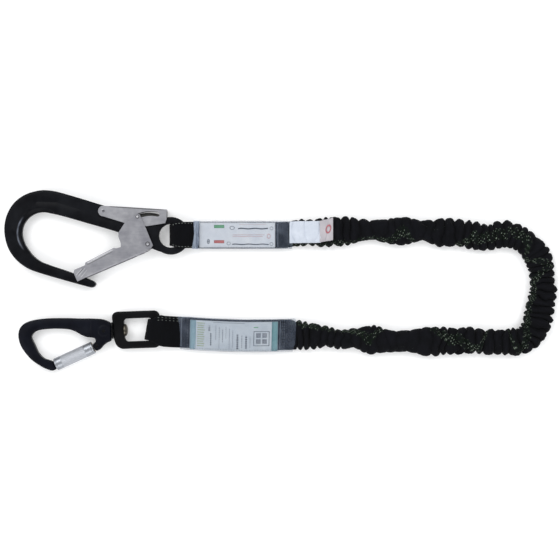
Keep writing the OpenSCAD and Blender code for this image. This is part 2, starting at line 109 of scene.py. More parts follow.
camera = bpy.data.objects.new("camera", bpy.data.cameras.new("camera"))
bpy.context.scene.collection.objects.link(camera)
camera.data.sensor_width = 36
camera.data.lens = 85
camera.location = (0.1469, 0, 1.762)
camera.data.clip_end = 20
bpy.context.scene.camera = camera
bpy.context.scene.view_settings.view_transform = "Standard"


# ---------- mesh helpers ----------


def piece(name, verts, faces, mats, face_mats=None, smooth=True, lay=None):
    """A mesh object from points in millimetres; lay holds three numbers a point for the weave."""
    me = bpy.data.meshes.new(name)
    me.from_pydata((np.asarray(verts, float) * MM).tolist(), [], [tuple(int(i) for i in f) for f in faces])
    for m in mats:
        me.materials.append(m)
    if face_mats is not None:
        me.polygons.foreach_set("material_index", np.asarray(face_mats, np.int32))
    me.polygons.foreach_set("use_smooth", np.full(len(me.polygons), smooth))
    if lay is not None:
        layer = me.attributes.new("lay", "FLOAT_VECTOR", "POINT")
        layer.data.foreach_set("vector", np.asarray(lay, np.float32).ravel())
    me.validate()
    me.update()
    o = bpy.data.objects.new(name, me)
    bpy.context.scene.collection.objects.link(o)
    return o


def grid_faces(rows, cols, wrap=False, start=0):
    """Quads between rows of points; wrap joins each row's last point to its first."""
    faces = []
    for i in range(rows - 1):
        for k in range(cols if wrap else cols - 1):
            a, b = start + i * cols + k, start + i * cols + (k + 1) % cols
            faces.append((a, b, b + cols, a + cols))
    return faces


def tube_faces(rows, cols):
    """A closed tube with a flat cap at each end."""
    first = tuple(range(cols))[::-1]
    last = tuple((rows - 1) * cols + k for k in range(cols))
    return grid_faces(rows, cols, True) + [first, last]


def spline(points, per_span):
    """Catmull-Rom points through the given ones, in any number of dimensions."""
    p = np.asarray(points, float)
    p = np.vstack([2 * p[0] - p[1], p, 2 * p[-1] - p[-2]])
    out = []
    for i in range(1, len(p) - 2):
        a, b, c, d = p[i - 1:i + 3]
        for k in range(per_span):
            t = k / per_span
            out.append(0.5 * (2 * b + (c - a) * t + (2 * a - 5 * b + 4 * c - d) * t * t
                              + (3 * b - a - 3 * c + d) * t ** 3))
    out.append(p[-2])
    return np.array(out)


def even(points, count):
    """The same line cut into equal steps; also gives the distance along it."""
    step = np.linalg.norm(np.diff(points, axis=0), axis=1)
    s = np.concatenate([[0], np.cumsum(step)])
    t = np.linspace(0, s[-1], count)
    return np.column_stack([np.interp(t, s, points[:, i]) for i in range(points.shape[1])]), t


def wander(x, y=0.0, z=0.0, seed=0.0):
    """Smooth noise from -1 to 1."""
    return noise.noise(Vector((x + 17.3 * seed, y - 5.1 * seed, z + 3.7 * seed)))


def taken(node, name, modifiers):
    """A new mesh from a CAD node's own shape, with modifiers applied, to stand for that node."""
    source = NODES[node]
    o = bpy.data.objects.new(name, source.data.copy())
    bpy.context.scene.collection.objects.link(o)
    weld = o.modifiers.new("weld", "WELD")
    weld.merge_threshold = 0.00002
    for kind, values in modifiers:
        m = o.modifiers.new(kind.lower(), kind)
        for key, value in values.items():
            setattr(m, key, value)
    bpy.context.view_layer.update()
    made = bpy.data.meshes.new_from_object(o.evaluated_get(bpy.context.evaluated_depsgraph_get()))
    made.name = name
    o.modifiers.clear()
    o.data = made
    made.materials.clear()
    return o


def sharp_by_angle(o, degrees):
    """Smooth shading that stays crisp over edges sharper than an angle."""
    me = o.data
    if "custom_normal" in me.attributes:
        me.attributes.remove(me.attributes["custom_normal"])
    me.polygons.foreach_set("use_smooth", np.ones(len(me.polygons), bool))
    me.set_sharp_from_angle(angle=math.radians(degrees))


def softened(node, name, material, width):
    """A pressed or machined part with its edges broken."""
    o = taken(node, name, [
        ("DECIMATE", {"decimate_type": "DISSOLVE", "angle_limit": math.radians(1)}),
        ("BEVEL", {"width": width * MM, "segments": 2, "limit_method": "ANGLE",
                   "angle_limit": math.radians(35), "use_clamp_overlap": True}),
    ])
    sharp_by_angle(o, 50)
    flat = o.modifiers.new("normals", "WEIGHTED_NORMAL")
    flat.keep_sharp = True
    flat.weight = 80
    o.data.materials.append(material)
    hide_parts(node)
    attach(o, NODES[node]["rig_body"])
    return o


def forged(node, name, material, voxel, rounds):
    """A forging: the CAD shape remeshed fine and rubbed smooth; returns it and its points in millimetres."""
    o = taken(node, name, [
        ("REMESH", {"mode": "VOXEL", "voxel_size": voxel * MM}),
        ("SMOOTH", {"factor": 0.5, "iterations": rounds}),
    ])
    o.data.materials.append(material)
    co = np.zeros(len(o.data.vertices) * 3)
    o.data.vertices.foreach_get("co", co)
    return o, co.reshape(-1, 3) / MM


def reshaped(o, points):
    """Puts a forging's points, in millimetres, where the sculpting left them."""
    o.data.vertices.foreach_set("co", (points * MM).ravel())
    o.data.polygons.foreach_set("use_smooth", np.ones(len(o.data.polygons), bool))
    o.data.update()


def from_line(points, line):
    """Distance in plan from each point to a line of segments."""
    best = np.full(len(points), 1e9)
    for a, b in zip(line[:-1], line[1:]):
        a, b = np.array(a, float), np.array(b, float)
        t = np.clip(((points[:, :2] - a) @ (b - a)) / ((b - a) @ (b - a)), 0, 1)
        best = np.minimum(best, np.linalg.norm(points[:, :2] - a - t[:, None] * (b - a), axis=1))
    return best


def joined(name, parts, mats):
    """One mesh from several (points, faces, material number)."""
    verts, faces, numbers = [], [], []
    for points, fs, m in parts:
        start = len(verts)
        verts += [list(p) for p in points]
        faces += [tuple(i + start for i in f) for f in fs]
        numbers += [m] * len(fs)
    return piece(name, verts, faces, mats, numbers)


def stitch(p, along, up, length, width, height):
    """One raised stitch: a low six-sided bead lying on the cloth."""
    along, up = along / np.linalg.norm(along), up / np.linalg.norm(up)
    side = np.cross(up, along)
    pts = []
    for t, k in ((-1, 0.35), (-0.6, 0.9), (0, 1.0), (0.6, 0.9), (1, 0.35)):
        for a in range(0, 360, 60):
            c, s = math.cos(math.radians(a)), math.sin(math.radians(a))
            pts.append(p + along * t * length / 2 + side * c * k * width / 2 + up * s * k * height / 2)
    return pts, tube_faces(5, 6)


def stitch_rows(name, lines, material, pitch, length, width, height):
    """Stitches spread evenly along each line."""
    parts = []
    up = np.array([0, 0, 1.0])
    for line in lines:
        pts = np.asarray(line, float)
        n = max(2, int(np.linalg.norm(np.diff(pts, axis=0), axis=1).sum() / pitch))
        dots, _ = even(pts, n)
        for i in range(len(dots)):
            along = dots[min(i + 1, n - 1)] - dots[max(i - 1, 0)]
            parts.append((*stitch(dots[i], along, up, length, width, height), 0))
    return joined(name, parts, [material])


# ---------- materials ----------


class Shade:
    """A node material; what is the same all over is set on the shader's own sockets."""

    def __init__(self, name, **sockets):
        self.m = bpy.data.materials.new(name)
        self.m.use_nodes = True
        self.t = self.m.node_tree
        self.b = self.t.nodes["Principled BSDF"]
        for key, value in sockets.items():
            self.b.inputs[key.replace("_", " ")].default_value = value

    def node(self, kind, **values):
        n = self.t.nodes.new("ShaderNode" + kind)
        for key, value in values.items():
            setattr(n, key, value)
        return n

    def wire(self, value, socket):
        if hasattr(value, "is_output"):
            self.t.links.new(value, socket)
        else:
            socket.default_value = value

    def place(self, scale=(1, 1, 1), turn=(0, 0, 0), lay=False):
        """Object coordinates in metres, or the cloth's own along, across and third number in millimetres."""
        if lay:
            source = self.node("Attribute", attribute_name="lay").outputs["Vector"]
        else:
            source = self.node("TexCoord").outputs["Object"]
        n = self.node("Mapping")
        n.inputs["Rotation"].default_value = turn
        n.inputs["Scale"].default_value = scale
        self.wire(source, n.inputs["Vector"])
        return n.outputs["Vector"]

    def noise(self, where, scale, detail=3.0, rough=0.55):
        n = self.node("TexNoise")
        self.wire(where, n.inputs["Vector"])
        n.inputs["Scale"].default_value = scale
        n.inputs["Detail"].default_value = detail
        n.inputs["Roughness"].default_value = rough
        return n.outputs["Fac"]

    def math(self, operation, a, b=0.0):
        n = self.node("Math", operation=operation)
        self.wire(a, n.inputs[0])
        self.wire(b, n.inputs[1])
        return n.outputs[0]

    def times(self, first, *others):
        for other in others:
            first = self.math("MULTIPLY", first, other)
        return first

    def plus(self, a, b):
        return self.math("ADD", a, b)

    def size(self, value):
        return self.math("ABSOLUTE", value)

    def wave(self, value, length):
        """A sine that repeats every length."""
        return self.math("SINE", self.times(value, 2 * math.pi / length))

    def mottle(self, scale, detail, lo=0.3, hi=0.7):
        """Cloudy tone from 0 to 1 over the whole piece."""
        return self.span(self.noise(self.place(), scale, detail), lo, hi)

    def span(self, value, lo, hi, to_lo=0.0, to_hi=1.0):
        n = self.node("MapRange")
        self.wire(value, n.inputs["Value"])
        for key, v in (("From Min", lo), ("From Max", hi), ("To Min", to_lo), ("To Max", to_hi)):
            n.inputs[key].default_value = v
        return n.outputs["Result"]

    def mix(self, fac, a, b):
        n = self.node("Mix", data_type="RGBA")
        self.wire(fac, n.inputs[0])
        for value, socket in ((a, n.inputs[6]), (b, n.inputs[7])):
            self.wire(value if hasattr(value, "is_output") else (*value, 1.0), socket)
        return n.outputs[2]

    def split(self, vector):
        n = self.node("SeparateXYZ")
        self.wire(vector, n.inputs[0])
        return n.outputs

    def color(self, value):
        self.wire(value, self.b.inputs["Base Color"])

    def rough(self, value):
        self.wire(value, self.b.inputs["Roughness"])

    def bump(self, height, distance, strength=1.0):
        n = self.node("Bump")
        self.wire(height, n.inputs["Height"])
        n.inputs["Distance"].default_value = distance
        n.inputs["Strength"].default_value = strength
        self.wire(n.outputs["Normal"], self.b.inputs["Normal"])


def coated(name, dark, light, rough=(0.3, 0.44), grain=900.0):
    """Satin black coating: fine orange peel, slow tone changes, worn edges, and a painted highlight along a
    thin line given by a point attribute.
    """
    s = Shade(name, Specular_IOR_Level=0.07)
    worn = s.node("NewGeometry").outputs["Pointiness"]
    edge = s.times(s.span(worn, 0.53, 0.6), s.mottle(260, 3, 0.5, 0.7))
    # Painted highlight: a lighter bluish line, read from a point attribute, stands in for a highlight on the
    # hook's inner bevel.
    line = s.node("Attribute", attribute_name="highlight_line").outputs["Fac"]
    painted_highlight = s.times(line, s.span(s.noise(s.place(), 130, 3), 0.3, 0.6, 0.35, 1.0))
    body = s.mix(painted_highlight, s.mix(s.mottle(38, 4, 0.35, 0.68), dark, light), (0.16, 0.175, 0.215))
    s.color(s.mix(s.times(edge, 0.35), body, (0.05, 0.05, 0.055)))
    s.rough(s.span(s.noise(s.place(), 120, 3), 0.3, 0.7, *rough))
    s.bump(s.noise(s.place(), grain, 2), 0.00008)
    return s.m


def metal(name, dark, light, rough=(0.34, 0.5), metallic=0.85, turn=0.0):
    """Plated or turned steel: streaks along the rolling direction, cloudy tone, small scratches."""
    s = Shade(name, Metallic=metallic)
    lines = s.noise(s.place((60, 1400, 60), (0, 0, turn)), 1.0, 4)
    cloud = s.noise(s.place(), 70, 4)
    s.color(s.mix(s.span(s.plus(s.times(lines, 0.45), cloud), 0.5, 0.95), dark, light))
    s.rough(s.span(lines, 0.3, 0.7, *rough))
    s.bump(s.plus(lines, s.times(s.noise(s.place(), 900, 2), 0.4)), 0.00003)
    return s.m


def webbing_material(name, warp=1.5, weft=1.1):
    """Black woven webbing: ribs of warp crossed by weft, with a darker groove between yarns."""
    s = Shade(name, Specular_IOR_Level=0.06, Sheen_Weight=0.05, Sheen_Roughness=0.45)
    along, across, _ = s.split(s.place(lay=True))
    rib = s.wave(across, warp)
    yarn_number = s.math("ROUND", s.math("DIVIDE", across, warp))
    step = s.math("SINE", s.plus(s.times(along, 2 * math.pi / weft), s.times(yarn_number, math.pi)))
    height = s.plus(s.times(s.size(rib), 0.7), s.times(step, 0.3))
    tone = s.mottle(90, 4)
    yarn = s.mix(tone, (0.0024, 0.0026, 0.0036), (0.0058, 0.0062, 0.0084))
    s.color(s.mix(s.span(height, 0.1, 0.8), (0.0016, 0.0017, 0.0022), yarn))
    s.rough(s.span(tone, 0.0, 1.0, 0.75, 0.95))
    s.bump(height, 0.0002)
    return s.m


def strap_material():
    """Gathered tube: fine weave, painted shade darkening the valleys of the gathers, and pale tracer threads
    scattered where the third number is near zero.
    """
    s = Shade("elastic_cloth", Specular_IOR_Level=0.06, Sheen_Weight=0.06, Sheen_Roughness=0.4)
    along, across, off = s.split(s.place(lay=True))
    fold = s.node("Attribute", attribute_name="fold").outputs["Fac"]
    fine = s.times(s.wave(along, 1.3), s.wave(across, 1.1))
    tone = s.mottle(60, 5)
    crest = s.mix(tone, (0.0026, 0.0028, 0.0036), (0.0060, 0.0062, 0.0084))
    # Painted shade: the fold attribute darkens the cloth in the valleys of the gathers.
    base = s.mix(s.span(fold, 0.1, 0.95), (0.0010, 0.0011, 0.0013), crest)
    row = s.math("DIVIDE", off, 8.6)
    inside = s.math("LESS_THAN", s.size(s.math("SUBTRACT", s.math("FRACT", row), 0.5)), 0.25)
    band = s.span(s.size(off), 18.0, 25.0, 1.0, 0.0)
    beat = s.math("FRACT", s.plus(s.math("DIVIDE", along, 5.8), s.times(s.math("FLOOR", row), 0.41)))
    dash = s.math("LESS_THAN", beat, 0.36)
    mask = s.times(inside, dash, band, s.mottle(210, 2, 0.47, 0.53))
    base = s.mix(s.times(band, s.mottle(420, 2, 0.4, 0.6)), base, (0.0036, 0.0075, 0.0040))
    green = s.mix(s.mottle(260, 2, 0.38, 0.66), (0.030, 0.044, 0.030), (0.20, 0.235, 0.19))
    s.color(s.mix(mask, base, green))
    s.rough(s.span(tone, 0.0, 1.0, 0.72, 0.92))
    s.bump(s.plus(s.times(fine, 0.35), s.times(mask, 0.8)), 0.00022)
    return s.m


def film_material():
    """Clear vinyl: hazy and bluish, denser at a glancing angle, paler where it lifts at the hook, with
    streaks of painted highlight there.
    """
    s = Shade("clear_film", Specular_IOR_Level=0.8, IOR=1.5)
    haze = s.mottle(55, 4)
    glance = s.node("LayerWeight")
    glance.inputs["Blend"].default_value = 0.22
    x, y, _ = s.split(s.place())
    pull = s.times(s.noise(s.place((260, 40, 40)), 1.0, 2), 0.012)
    lifted = s.times(s.span(s.plus(x, pull), 0.0468, 0.0446), s.math("GREATER_THAN", y, 0.0))
    # Painted highlight: pale streaks over the lifted end of the film.
    streaks = s.span(s.noise(s.place((420, 60, 60)), 1.0, 3), 0.35, 0.65)
    pale = s.mix(streaks, (0.16, 0.20, 0.29), (0.44, 0.51, 0.62))
    s.color(s.mix(lifted, s.mix(haze, (0.12, 0.16, 0.25), (0.34, 0.40, 0.52)), pale))
    veil = s.plus(s.span(haze, 0.0, 1.0, 0.04, 0.10), s.times(glance.outputs["Facing"], 0.45))
    s.wire(s.plus(veil, s.times(lifted, 0.42)), s.b.inputs["Alpha"])
    s.rough(s.span(s.noise(s.place(), 200, 2), 0.3, 0.7, 0.08, 0.2))
    s.bump(s.noise(s.place(), 160, 3), 0.0004)
    return s.m


def plain(name, dark, light, rough=0.6, scale=140.0, relief=0.00004, spec=0.3):
    """Print, card, thread or cloth: a small change of tone and a fine tooth."""
    s = Shade(name, Specular_IOR_Level=spec)
    s.color(s.mix(s.mottle(scale, 4), dark, light))
    s.rough(s.span(s.noise(s.place(), scale * 3, 2), 0.3, 0.7, rough - 0.08, rough + 0.08))
    s.bump(s.noise(s.place(), scale * 9, 2), relief)
    return s.m


def folded(name, valley_shade, low, high):
    """Thin crinkled cloth: painted shade, darker where the third number, the fold, is low in the fold
    valleys.
    """
    s = Shade(name, Specular_IOR_Level=0.15)
    fold = s.split(s.place(lay=True))[2]
    s.color(s.mix(s.span(fold, 0.0, 0.62), valley_shade, s.mix(s.mottle(120, 4), low, high)))
    s.rough(s.span(s.noise(s.place(), 360, 2), 0.3, 0.7, 0.67, 0.83))
    s.bump(s.noise(s.place(), 1080, 2), 0.00012)
    return s.m


def sleeve_material():
    """Lock sleeve: fine turning rings, and a frosted middle band with a pricked texture."""
    s = Shade("sleeve_alloy", Metallic=0.9)
    along, across, _ = s.split(s.place(lay=True))
    band = s.times(s.span(along, 17.0, 18.0), s.span(along, 51.0, 50.0))
    rings = s.noise(s.place((6.0, 0.02, 0.02), lay=True), 1.0, 3)
    prick = s.times(s.math("SINE", s.times(along, 4.6)), s.math("SINE", s.times(across, 4.6)))
    bright = s.mix(rings, (0.22, 0.235, 0.26), (0.40, 0.415, 0.445))
    frost = s.mix(s.span(prick, -0.6, 0.7), (0.34, 0.355, 0.385), (0.54, 0.555, 0.59))
    s.color(s.mix(band, bright, frost))
    s.rough(s.plus(s.span(rings, 0.3, 0.7, 0.34, 0.44), s.times(band, 0.12)))
    s.bump(s.plus(s.times(rings, 0.2), s.times(prick, band, 0.8)), 0.00012)
    return s.m


BLACK = coated("black_forging", (0.0022, 0.0023, 0.0034), (0.0066, 0.0072, 0.0092))
BLACK_ARM = coated("carabiner_forging", (0.0026, 0.0030, 0.0056), (0.0062, 0.0072, 0.0120), grain=1100)
BLACK_EYE = coated("swivel_black", (0.0022, 0.0022, 0.0027), (0.0048, 0.0048, 0.0056), rough=(0.36, 0.5))
ZINC = metal("zinc_plate", (0.215, 0.215, 0.24), (0.34, 0.34, 0.36), (0.36, 0.5), 0.75, -0.48)
LEVER = metal("lever_plate", (0.235, 0.235, 0.255), (0.365, 0.365, 0.385), (0.36, 0.5), 0.75, 0.05)
LEVER_EDGE = metal("lever_edge", (0.07, 0.07, 0.078), (0.12, 0.12, 0.13), (0.4, 0.55), 0.6)
# Painted shade: a darker plate colour for the lever's inner faces and for the sheet under its slot.
SHADED_INSIDE = metal("plate_inside_painted_shade", (0.17, 0.17, 0.16), (0.24, 0.24, 0.225), (0.5, 0.6), 0.3)
# Painted highlight: a lighter plate colour for the gate's pressed lips and tip ridges.
LIT_LIP = metal("pressed_lip_painted_highlight", (0.34, 0.34, 0.36), (0.47, 0.47, 0.49), (0.36, 0.5), 0.75, -0.48)
# Painted shade: a darker plate colour for the thin creases beside the gate's lips.
SHADED_CREASE = metal("pressed_crease_painted_shade", (0.13, 0.13, 0.142), (0.19, 0.19, 0.20), (0.4, 0.55), 0.7, -0.48)
STEEL = metal("rivet_steel", (0.19, 0.19, 0.205), (0.33, 0.33, 0.35), rough=(0.34, 0.46))
DARK_STEEL = metal("pin_steel", (0.035, 0.033, 0.028), (0.14, 0.125, 0.10), rough=(0.2, 0.36))
WIRE = metal("spring_wire", (0.30, 0.30, 0.32), (0.5, 0.5, 0.52), rough=(0.25, 0.4))
SHINY = metal("polished_end", (0.5, 0.5, 0.52), (0.66, 0.66, 0.68), rough=(0.3, 0.4), metallic=0.6)
BRONZE = metal("bush_bronze", (0.30, 0.20, 0.09), (0.45, 0.33, 0.16), rough=(0.35, 0.5))
ALLOY = sleeve_material()
WEB = webbing_material("black_webbing")
STRAP = strap_material()
FILM = film_material()
THREAD = plain("pale_thread", (0.17, 0.19, 0.17), (0.34, 0.36, 0.34), 0.8, 700, 0.0001, 0.2)
DIM_THREAD = plain("dim_thread", (0.07, 0.08, 0.07), (0.17, 0.185, 0.17), 0.8, 700, 0.0001, 0.2)
FILM_THREAD = plain("grey_thread", (0.07, 0.085, 0.11), (0.16, 0.18, 0.21), 0.8, 700, 0.0001, 0.2)
CARD = plain("label_card", (0.57, 0.60, 0.645), (0.63, 0.655, 0.69), 0.45, 60, 0.00002, 0.4)
PALE_CARD = plain("label_blue", (0.41, 0.455, 0.50), (0.50, 0.545, 0.585), 0.45, 60, 0.00002, 0.4)
CYAN = plain("print_cyan", (0.17, 0.27, 0.32), (0.25, 0.37, 0.42), 0.5, 80)
TEAL = plain("print_teal", (0.10, 0.23, 0.25), (0.16, 0.31, 0.33), 0.5, 80)
GREEN = plain("print_green", (0.10, 0.30, 0.15), (0.15, 0.38, 0.2), 0.5, 80)
OLIVE = plain("print_olive", (0.28, 0.35, 0.24), (0.38, 0.44, 0.30), 0.5, 80)
RED = plain("print_red", (0.42, 0.10, 0.09), (0.52, 0.16, 0.14), 0.5, 80)
ROSE = plain("print_rose", (0.50, 0.36, 0.37), (0.58, 0.44, 0.45), 0.5, 80)
INK = plain("print_ink", (0.045, 0.055, 0.07), (0.09, 0.10, 0.12), 0.5, 80)
GREY_INK = plain("print_grey", (0.16, 0.18, 0.21), (0.26, 0.28, 0.31), 0.5, 80)
WHITE_CLOTH = folded("white_cloth", (0.36, 0.40, 0.47), (0.49, 0.53, 0.60), (0.56, 0.60, 0.67))
TAB_CLOTH = folded("tab_cloth", (0.28, 0.28, 0.30), (0.38, 0.36, 0.385), (0.45, 0.425, 0.45))
MARK_RED = plain("mark_red", (0.33, 0.09, 0.11), (0.45, 0.16, 0.18), 0.6, 200)

# ---------- elastic strap: the free cord ----------

# Half width of the gathered strap at each point of its route, in millimetres
HALF_WIDTH = [
    17.8, 17.6, 17.2, 17.4, 17.6, 18.6, 17.4, 13.2, 16.5, 19, 13.8, 19, 18.6, 17.6, 17, 17.6, 17, 16.5,
    18, 17.6, 16.5, 17.8, 18, 18.4, 18, 17.5, 18.6, 17, 16.5, 17.6, 18.2, 19.4, 14.8, 15.4, 19, 13.8,
    12.6, 14.0, 18, 18.6, 19.6, 20.2,
]
# How strongly it is gathered at each point: 0 smooth, 1 deep folds
GATHER = [
    0, 0.1, 0.5, 0.9, 0.9, 1, 0.9, 0.5, 0.5, 0.5, 0.4, 0.8, 0.9, 1, 0.9, 0.9, 0.7, 0.6, 0.7, 0.9,
    1, 1, 1, 1, 1, 1, 1, 0.9, 0.9, 0.9, 0.8, 0.5, 0.3, 0.4, 0.5, 0.5, 0.6, 0.7, 1, 0.9, 0.3, 0,
]
# Length along the strap of one fold at each point, in millimetres
FOLD = [
    12, 12, 12, 11, 12, 13, 15, 16, 15, 12, 15, 13, 12, 10, 11, 10, 11, 11, 10, 9,
    9.6, 9.4, 9.6, 9.8, 10, 10.5, 11, 11.5, 12, 12, 12, 14, 16, 15, 13, 14, 12, 11, 9.5, 9, 9, 9,
]
# Angle round the strap where its tracer threads run: 90 is straight up, 180 the inner side, 270 underneath
TRACER = [
    158, 158, 156, 152, 150, 135, 158, 150, 142, 95, 235, 255, 165, 100, 92, 80, 70, 82, 150, 60,
    128, 140, 150, 145, 130, 95, 75, 262, 68, 92, 112, 185, 245, 215, 98, 128, 165, 145, 152, 150, 155, 155,
]
RINGS = 980
AROUND = 80


def make_strap():
    table = np.column_stack([np.array(ROUTE, float), HALF_WIDTH, GATHER, TRACER, FOLD])
    line = spline(table, 14)
    step = np.linalg.norm(np.diff(line[:, :2], axis=0), axis=1)
    s_line = np.concatenate([[0], np.cumsum(step)])
    total = s_line[-1]
    s = np.linspace(0, total, RINGS)
    x, y, half_w, gather, tracer, fold = [np.interp(s, s_line, line[:, i]) for i in range(6)]
    centre = np.column_stack([x, y])
    tangent = np.gradient(centre, axis=0)
    tangent /= np.linalg.norm(tangent, axis=1)[:, None]
    left = np.column_stack([-tangent[:, 1], tangent[:, 0]])
    full = np.clip(np.minimum(s, total - s) / 22.0 - 0.35, 0, 1)
    full = full * full * (3 - 2 * full)
    half_h = 4.0 + 4.4 * full
    z0 = 6.0 + 3.0 * full
    pitch = np.array([f * (1 + 0.62 * wander(v * 0.1, seed=1)) for f, v in zip(fold, s)])
    heading = np.unwrap(np.arctan2(tangent[:, 1], tangent[:, 0]))
    bend = np.gradient(heading, s)
    phase = np.concatenate([[0], np.cumsum(np.diff(s) / pitch[1:])])
    angles = np.linspace(0, 2 * math.pi, AROUND, endpoint=False)
    verts, lay, fold_shade = [], [], []
    fabric = np.concatenate([[0], np.cumsum(np.diff(s) * (1 + 0.4 * gather[1:]))])
    for i in range(RINGS):
        shift = 0.9 * wander(s[i] * 0.02, seed=5)
        for a in angles:
            c, d = math.cos(a), math.sin(a)
            skew = 0.62 * wander(c * 1.1, d * 0.3, s[i] * 0.045, seed=3) + 0.12 * c * math.sin(shift * 3)
            tight = min(1.1, max(0.4, 1 - bend[i] * 17 * c))
            lobe = abs(math.sin(math.pi * (phase[i] + skew)))
            small = abs(math.sin(math.pi * (2.1 * phase[i] - 1.7 * skew + 0.3)))
            big = 1 + 0.9 * wander(phase[i] * 0.55, c * 1.6, seed=8)
            depth = gather[i] * tight * (5.5 * big * (lobe ** 0.5 - 0.68) + 0.6 * (small ** 0.8 - 0.6))
            slow = (0.5 + gather[i]) * 1.5 * wander(c * 0.9, d * 0.5, s[i] * 0.05, seed=4)
            crease = 0.5 * (1 - gather[i]) * wander(c * 2.2, d * 2.2, s[i] * 0.16, seed=6)
            grow = depth + slow * full[i] + crease * full[i]
            w = half_w[i] - 0.7 + grow
            h = half_h[i] - 0.5 + 0.75 * grow
            across = w * math.copysign(abs(c) ** 0.86, c)
            z = max(0.25, z0[i] + h * math.copysign(abs(d) ** 0.92, d))
            p = centre[i] + left[i] * across
            verts.append((p[0], p[1], z))
            fold_side = 2 * abs((0.62 * phase[i]) % 1 - 0.5) - 0.5
            zig = 14 * gather[i] ** 2 * (fold_side + 0.9 * wander(s[i] * 0.07, seed=9))
            off = math.degrees(a) - tracer[i] - zig
            off = (off + 180) % 360 - 180
            lay.append((fabric[i], 13.5 * a, off))
            # Painted shade value: low in the valleys of the gathers, where the cloth is coloured darker.
            fold_shade.append(1 - gather[i] * (1 - 0.75 * lobe ** 0.8 - 0.25 * small))
    o = piece("elastic_strap", verts, tube_faces(RINGS, AROUND), [STRAP], lay=lay)
    o.data.attributes.new("fold", "FLOAT", "POINT").data.foreach_set("value", np.array(fold_shade, np.float32))
    path = np.column_stack([centre, z0]) * MM
    return o, path[::6]


strap, strap_path = make_strap()
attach(strap, "lanyard")
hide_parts("elastic_jacket", "elastic_core")

# ---------- webbing loops ----------


def band_section(half_w, half_t):
    """Rounded rectangle of a webbing ply: across, through."""
    r = half_t * 0.95
    pts = []
    out = half_w - r
    for cx, cy, a0 in ((out, 0, -90), (out, 0, 0), (-out, 0, 90), (-out, 0, 180)):
        for a in (0, 30, 60, 90):
            b = math.radians(a0 + a)
            pts.append((cx + r * math.cos(b), cy + half_t * math.sin(b)))
    flat = []
    for i in range(len(pts)):
        p, q = np.array(pts[i]), np.array(pts[(i + 1) % len(pts)])
        n = max(1, int(np.linalg.norm(q - p) / 1.4))
        flat += [tuple(p + (q - p) * k / n) for k in range(n)]
    return flat


def loop_piece(name, side_line, half_width, mid_y, frame_of, ply=2.4, ripple=0.25, seed=1.0):
    """Webbing along a line in the x-z plane; half_width and mid_y are functions of x."""
    line, s = even(spline(np.array(side_line, float), 10), 260)
    tangent = np.gradient(line, axis=0)
    tangent /= np.linalg.norm(tangent, axis=1)[:, None]
    verts, lay = [], []
    start_half = half_width(line[0][0])
    section = band_section(start_half, ply / 2)
    cols = len(section)
    for i in range(len(line)):
        x, z = line[i]
        k = half_width(x) / start_half
        out = np.array([-tangent[i][1], tangent[i][0]])
        for across, through in section:
            wob = ripple * wander(s[i] * 0.05, across * 0.12, seed=seed)
            q = through + wob
            verts.append((x + out[0] * q, mid_y(x) + across * k + 0.3 * wander(s[i] * 0.04, seed=seed + 3),
                          z + out[1] * q))
            lay.append((s[i], across, 0))
    return piece(name, frame_of(np.array(verts)), tube_faces(len(line), cols), [WEB], lay=lay)


def arc_xz(x0, z0, r, a0, a1, n):
    return [(x0 + r * math.cos(math.radians(a0 + (a1 - a0) * k / n)),
             z0 + r * math.sin(math.radians(a0 + (a1 - a0) * k / n))) for k in range(n + 1)]


def upper_half(x):
    return float(np.interp(x, [0, 4, 10, 16, 60], [14.0, 14.6, 16.6, 17.4, 17.4]))


def lower_half(x):
    return float(np.interp(x, [-30, -22, -12, 8, 60], [13.6, 14.2, 20.2, 20.4, 20.4]))


upper_line = ([(157, 4.7), (110, 4.7), (70, 4.7), (44, 4.7), (34, 3.9), (24, 3.7), (14, 3.7)]
              + arc_xz(9.1, 11, 7.3, 270, 90, 8)
              + [(14, 18.4), (24, 18.2), (31, 16.4), (38, 10.5), (45, 7.5)]
              + [(70, 7.3), (110, 7.3), (157, 7.3)])
upper_web = loop_piece("webbing_loop_hook", upper_line, upper_half, lambda x: WEB_Y, lambda p: p)
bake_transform(upper_web)
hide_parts("upper_webbing")

LOWER_FOLD_X = -20.9
lower_line = ([(162, 4.7), (110, 4.7), (60, 4.7), (20, 4.7), (8, 4.2), (0, 2.6), (-8, 1.8), (-15, 1.8)]
              + arc_xz(LOWER_FOLD_X, 8.5, 6.7, 270, 90, 8)
              + [(-15, 15.3), (-8, 15.0), (0, 12.0), (9, 7.8), (20, 7.3), (60, 7.3), (110, 7.3), (162, 7.3)])


def lower_mid(x):
    return float(np.interp(x, [-28, -18, -6, 10], [3.2, 3.0, 0.9, 0.0]))


def at_lower_loop(p):
    """The fold lies further from the bar along its inner edge."""
    p = np.array(p, float)
    p[:, 0] -= 4.4 * np.clip((-12 - p[:, 0]) / 10, 0, 1) * np.clip((16 - p[:, 1]) / 28, 0, 1)
    return at_lower(p)


lower_web = loop_piece("webbing_loop_swivel", lower_line, lower_half, lower_mid, at_lower_loop, seed=2.0)
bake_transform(lower_web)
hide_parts("lower_webbing")


def top_of(line, x):
    """Height of the upper ply's face over x."""
    pts = np.array(line, float)
    turn = int(np.argmin(pts[:, 0]))
    upper = pts[turn:]
    return float(np.interp(x, upper[:, 0], upper[:, 1])) + 1.2


upper_rows = []
for side in (-1, 1):
    upper_rows.append([(x, WEB_Y + side * (upper_half(x) - 1.9), top_of(upper_line, x) + 0.3)
                       for x in np.linspace(6, 44, 20)])
loop_stitches = stitch_rows("loop_stitches_hook", upper_rows, THREAD, 3.5, 1.7, 0.6, 0.7)
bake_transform(loop_stitches)

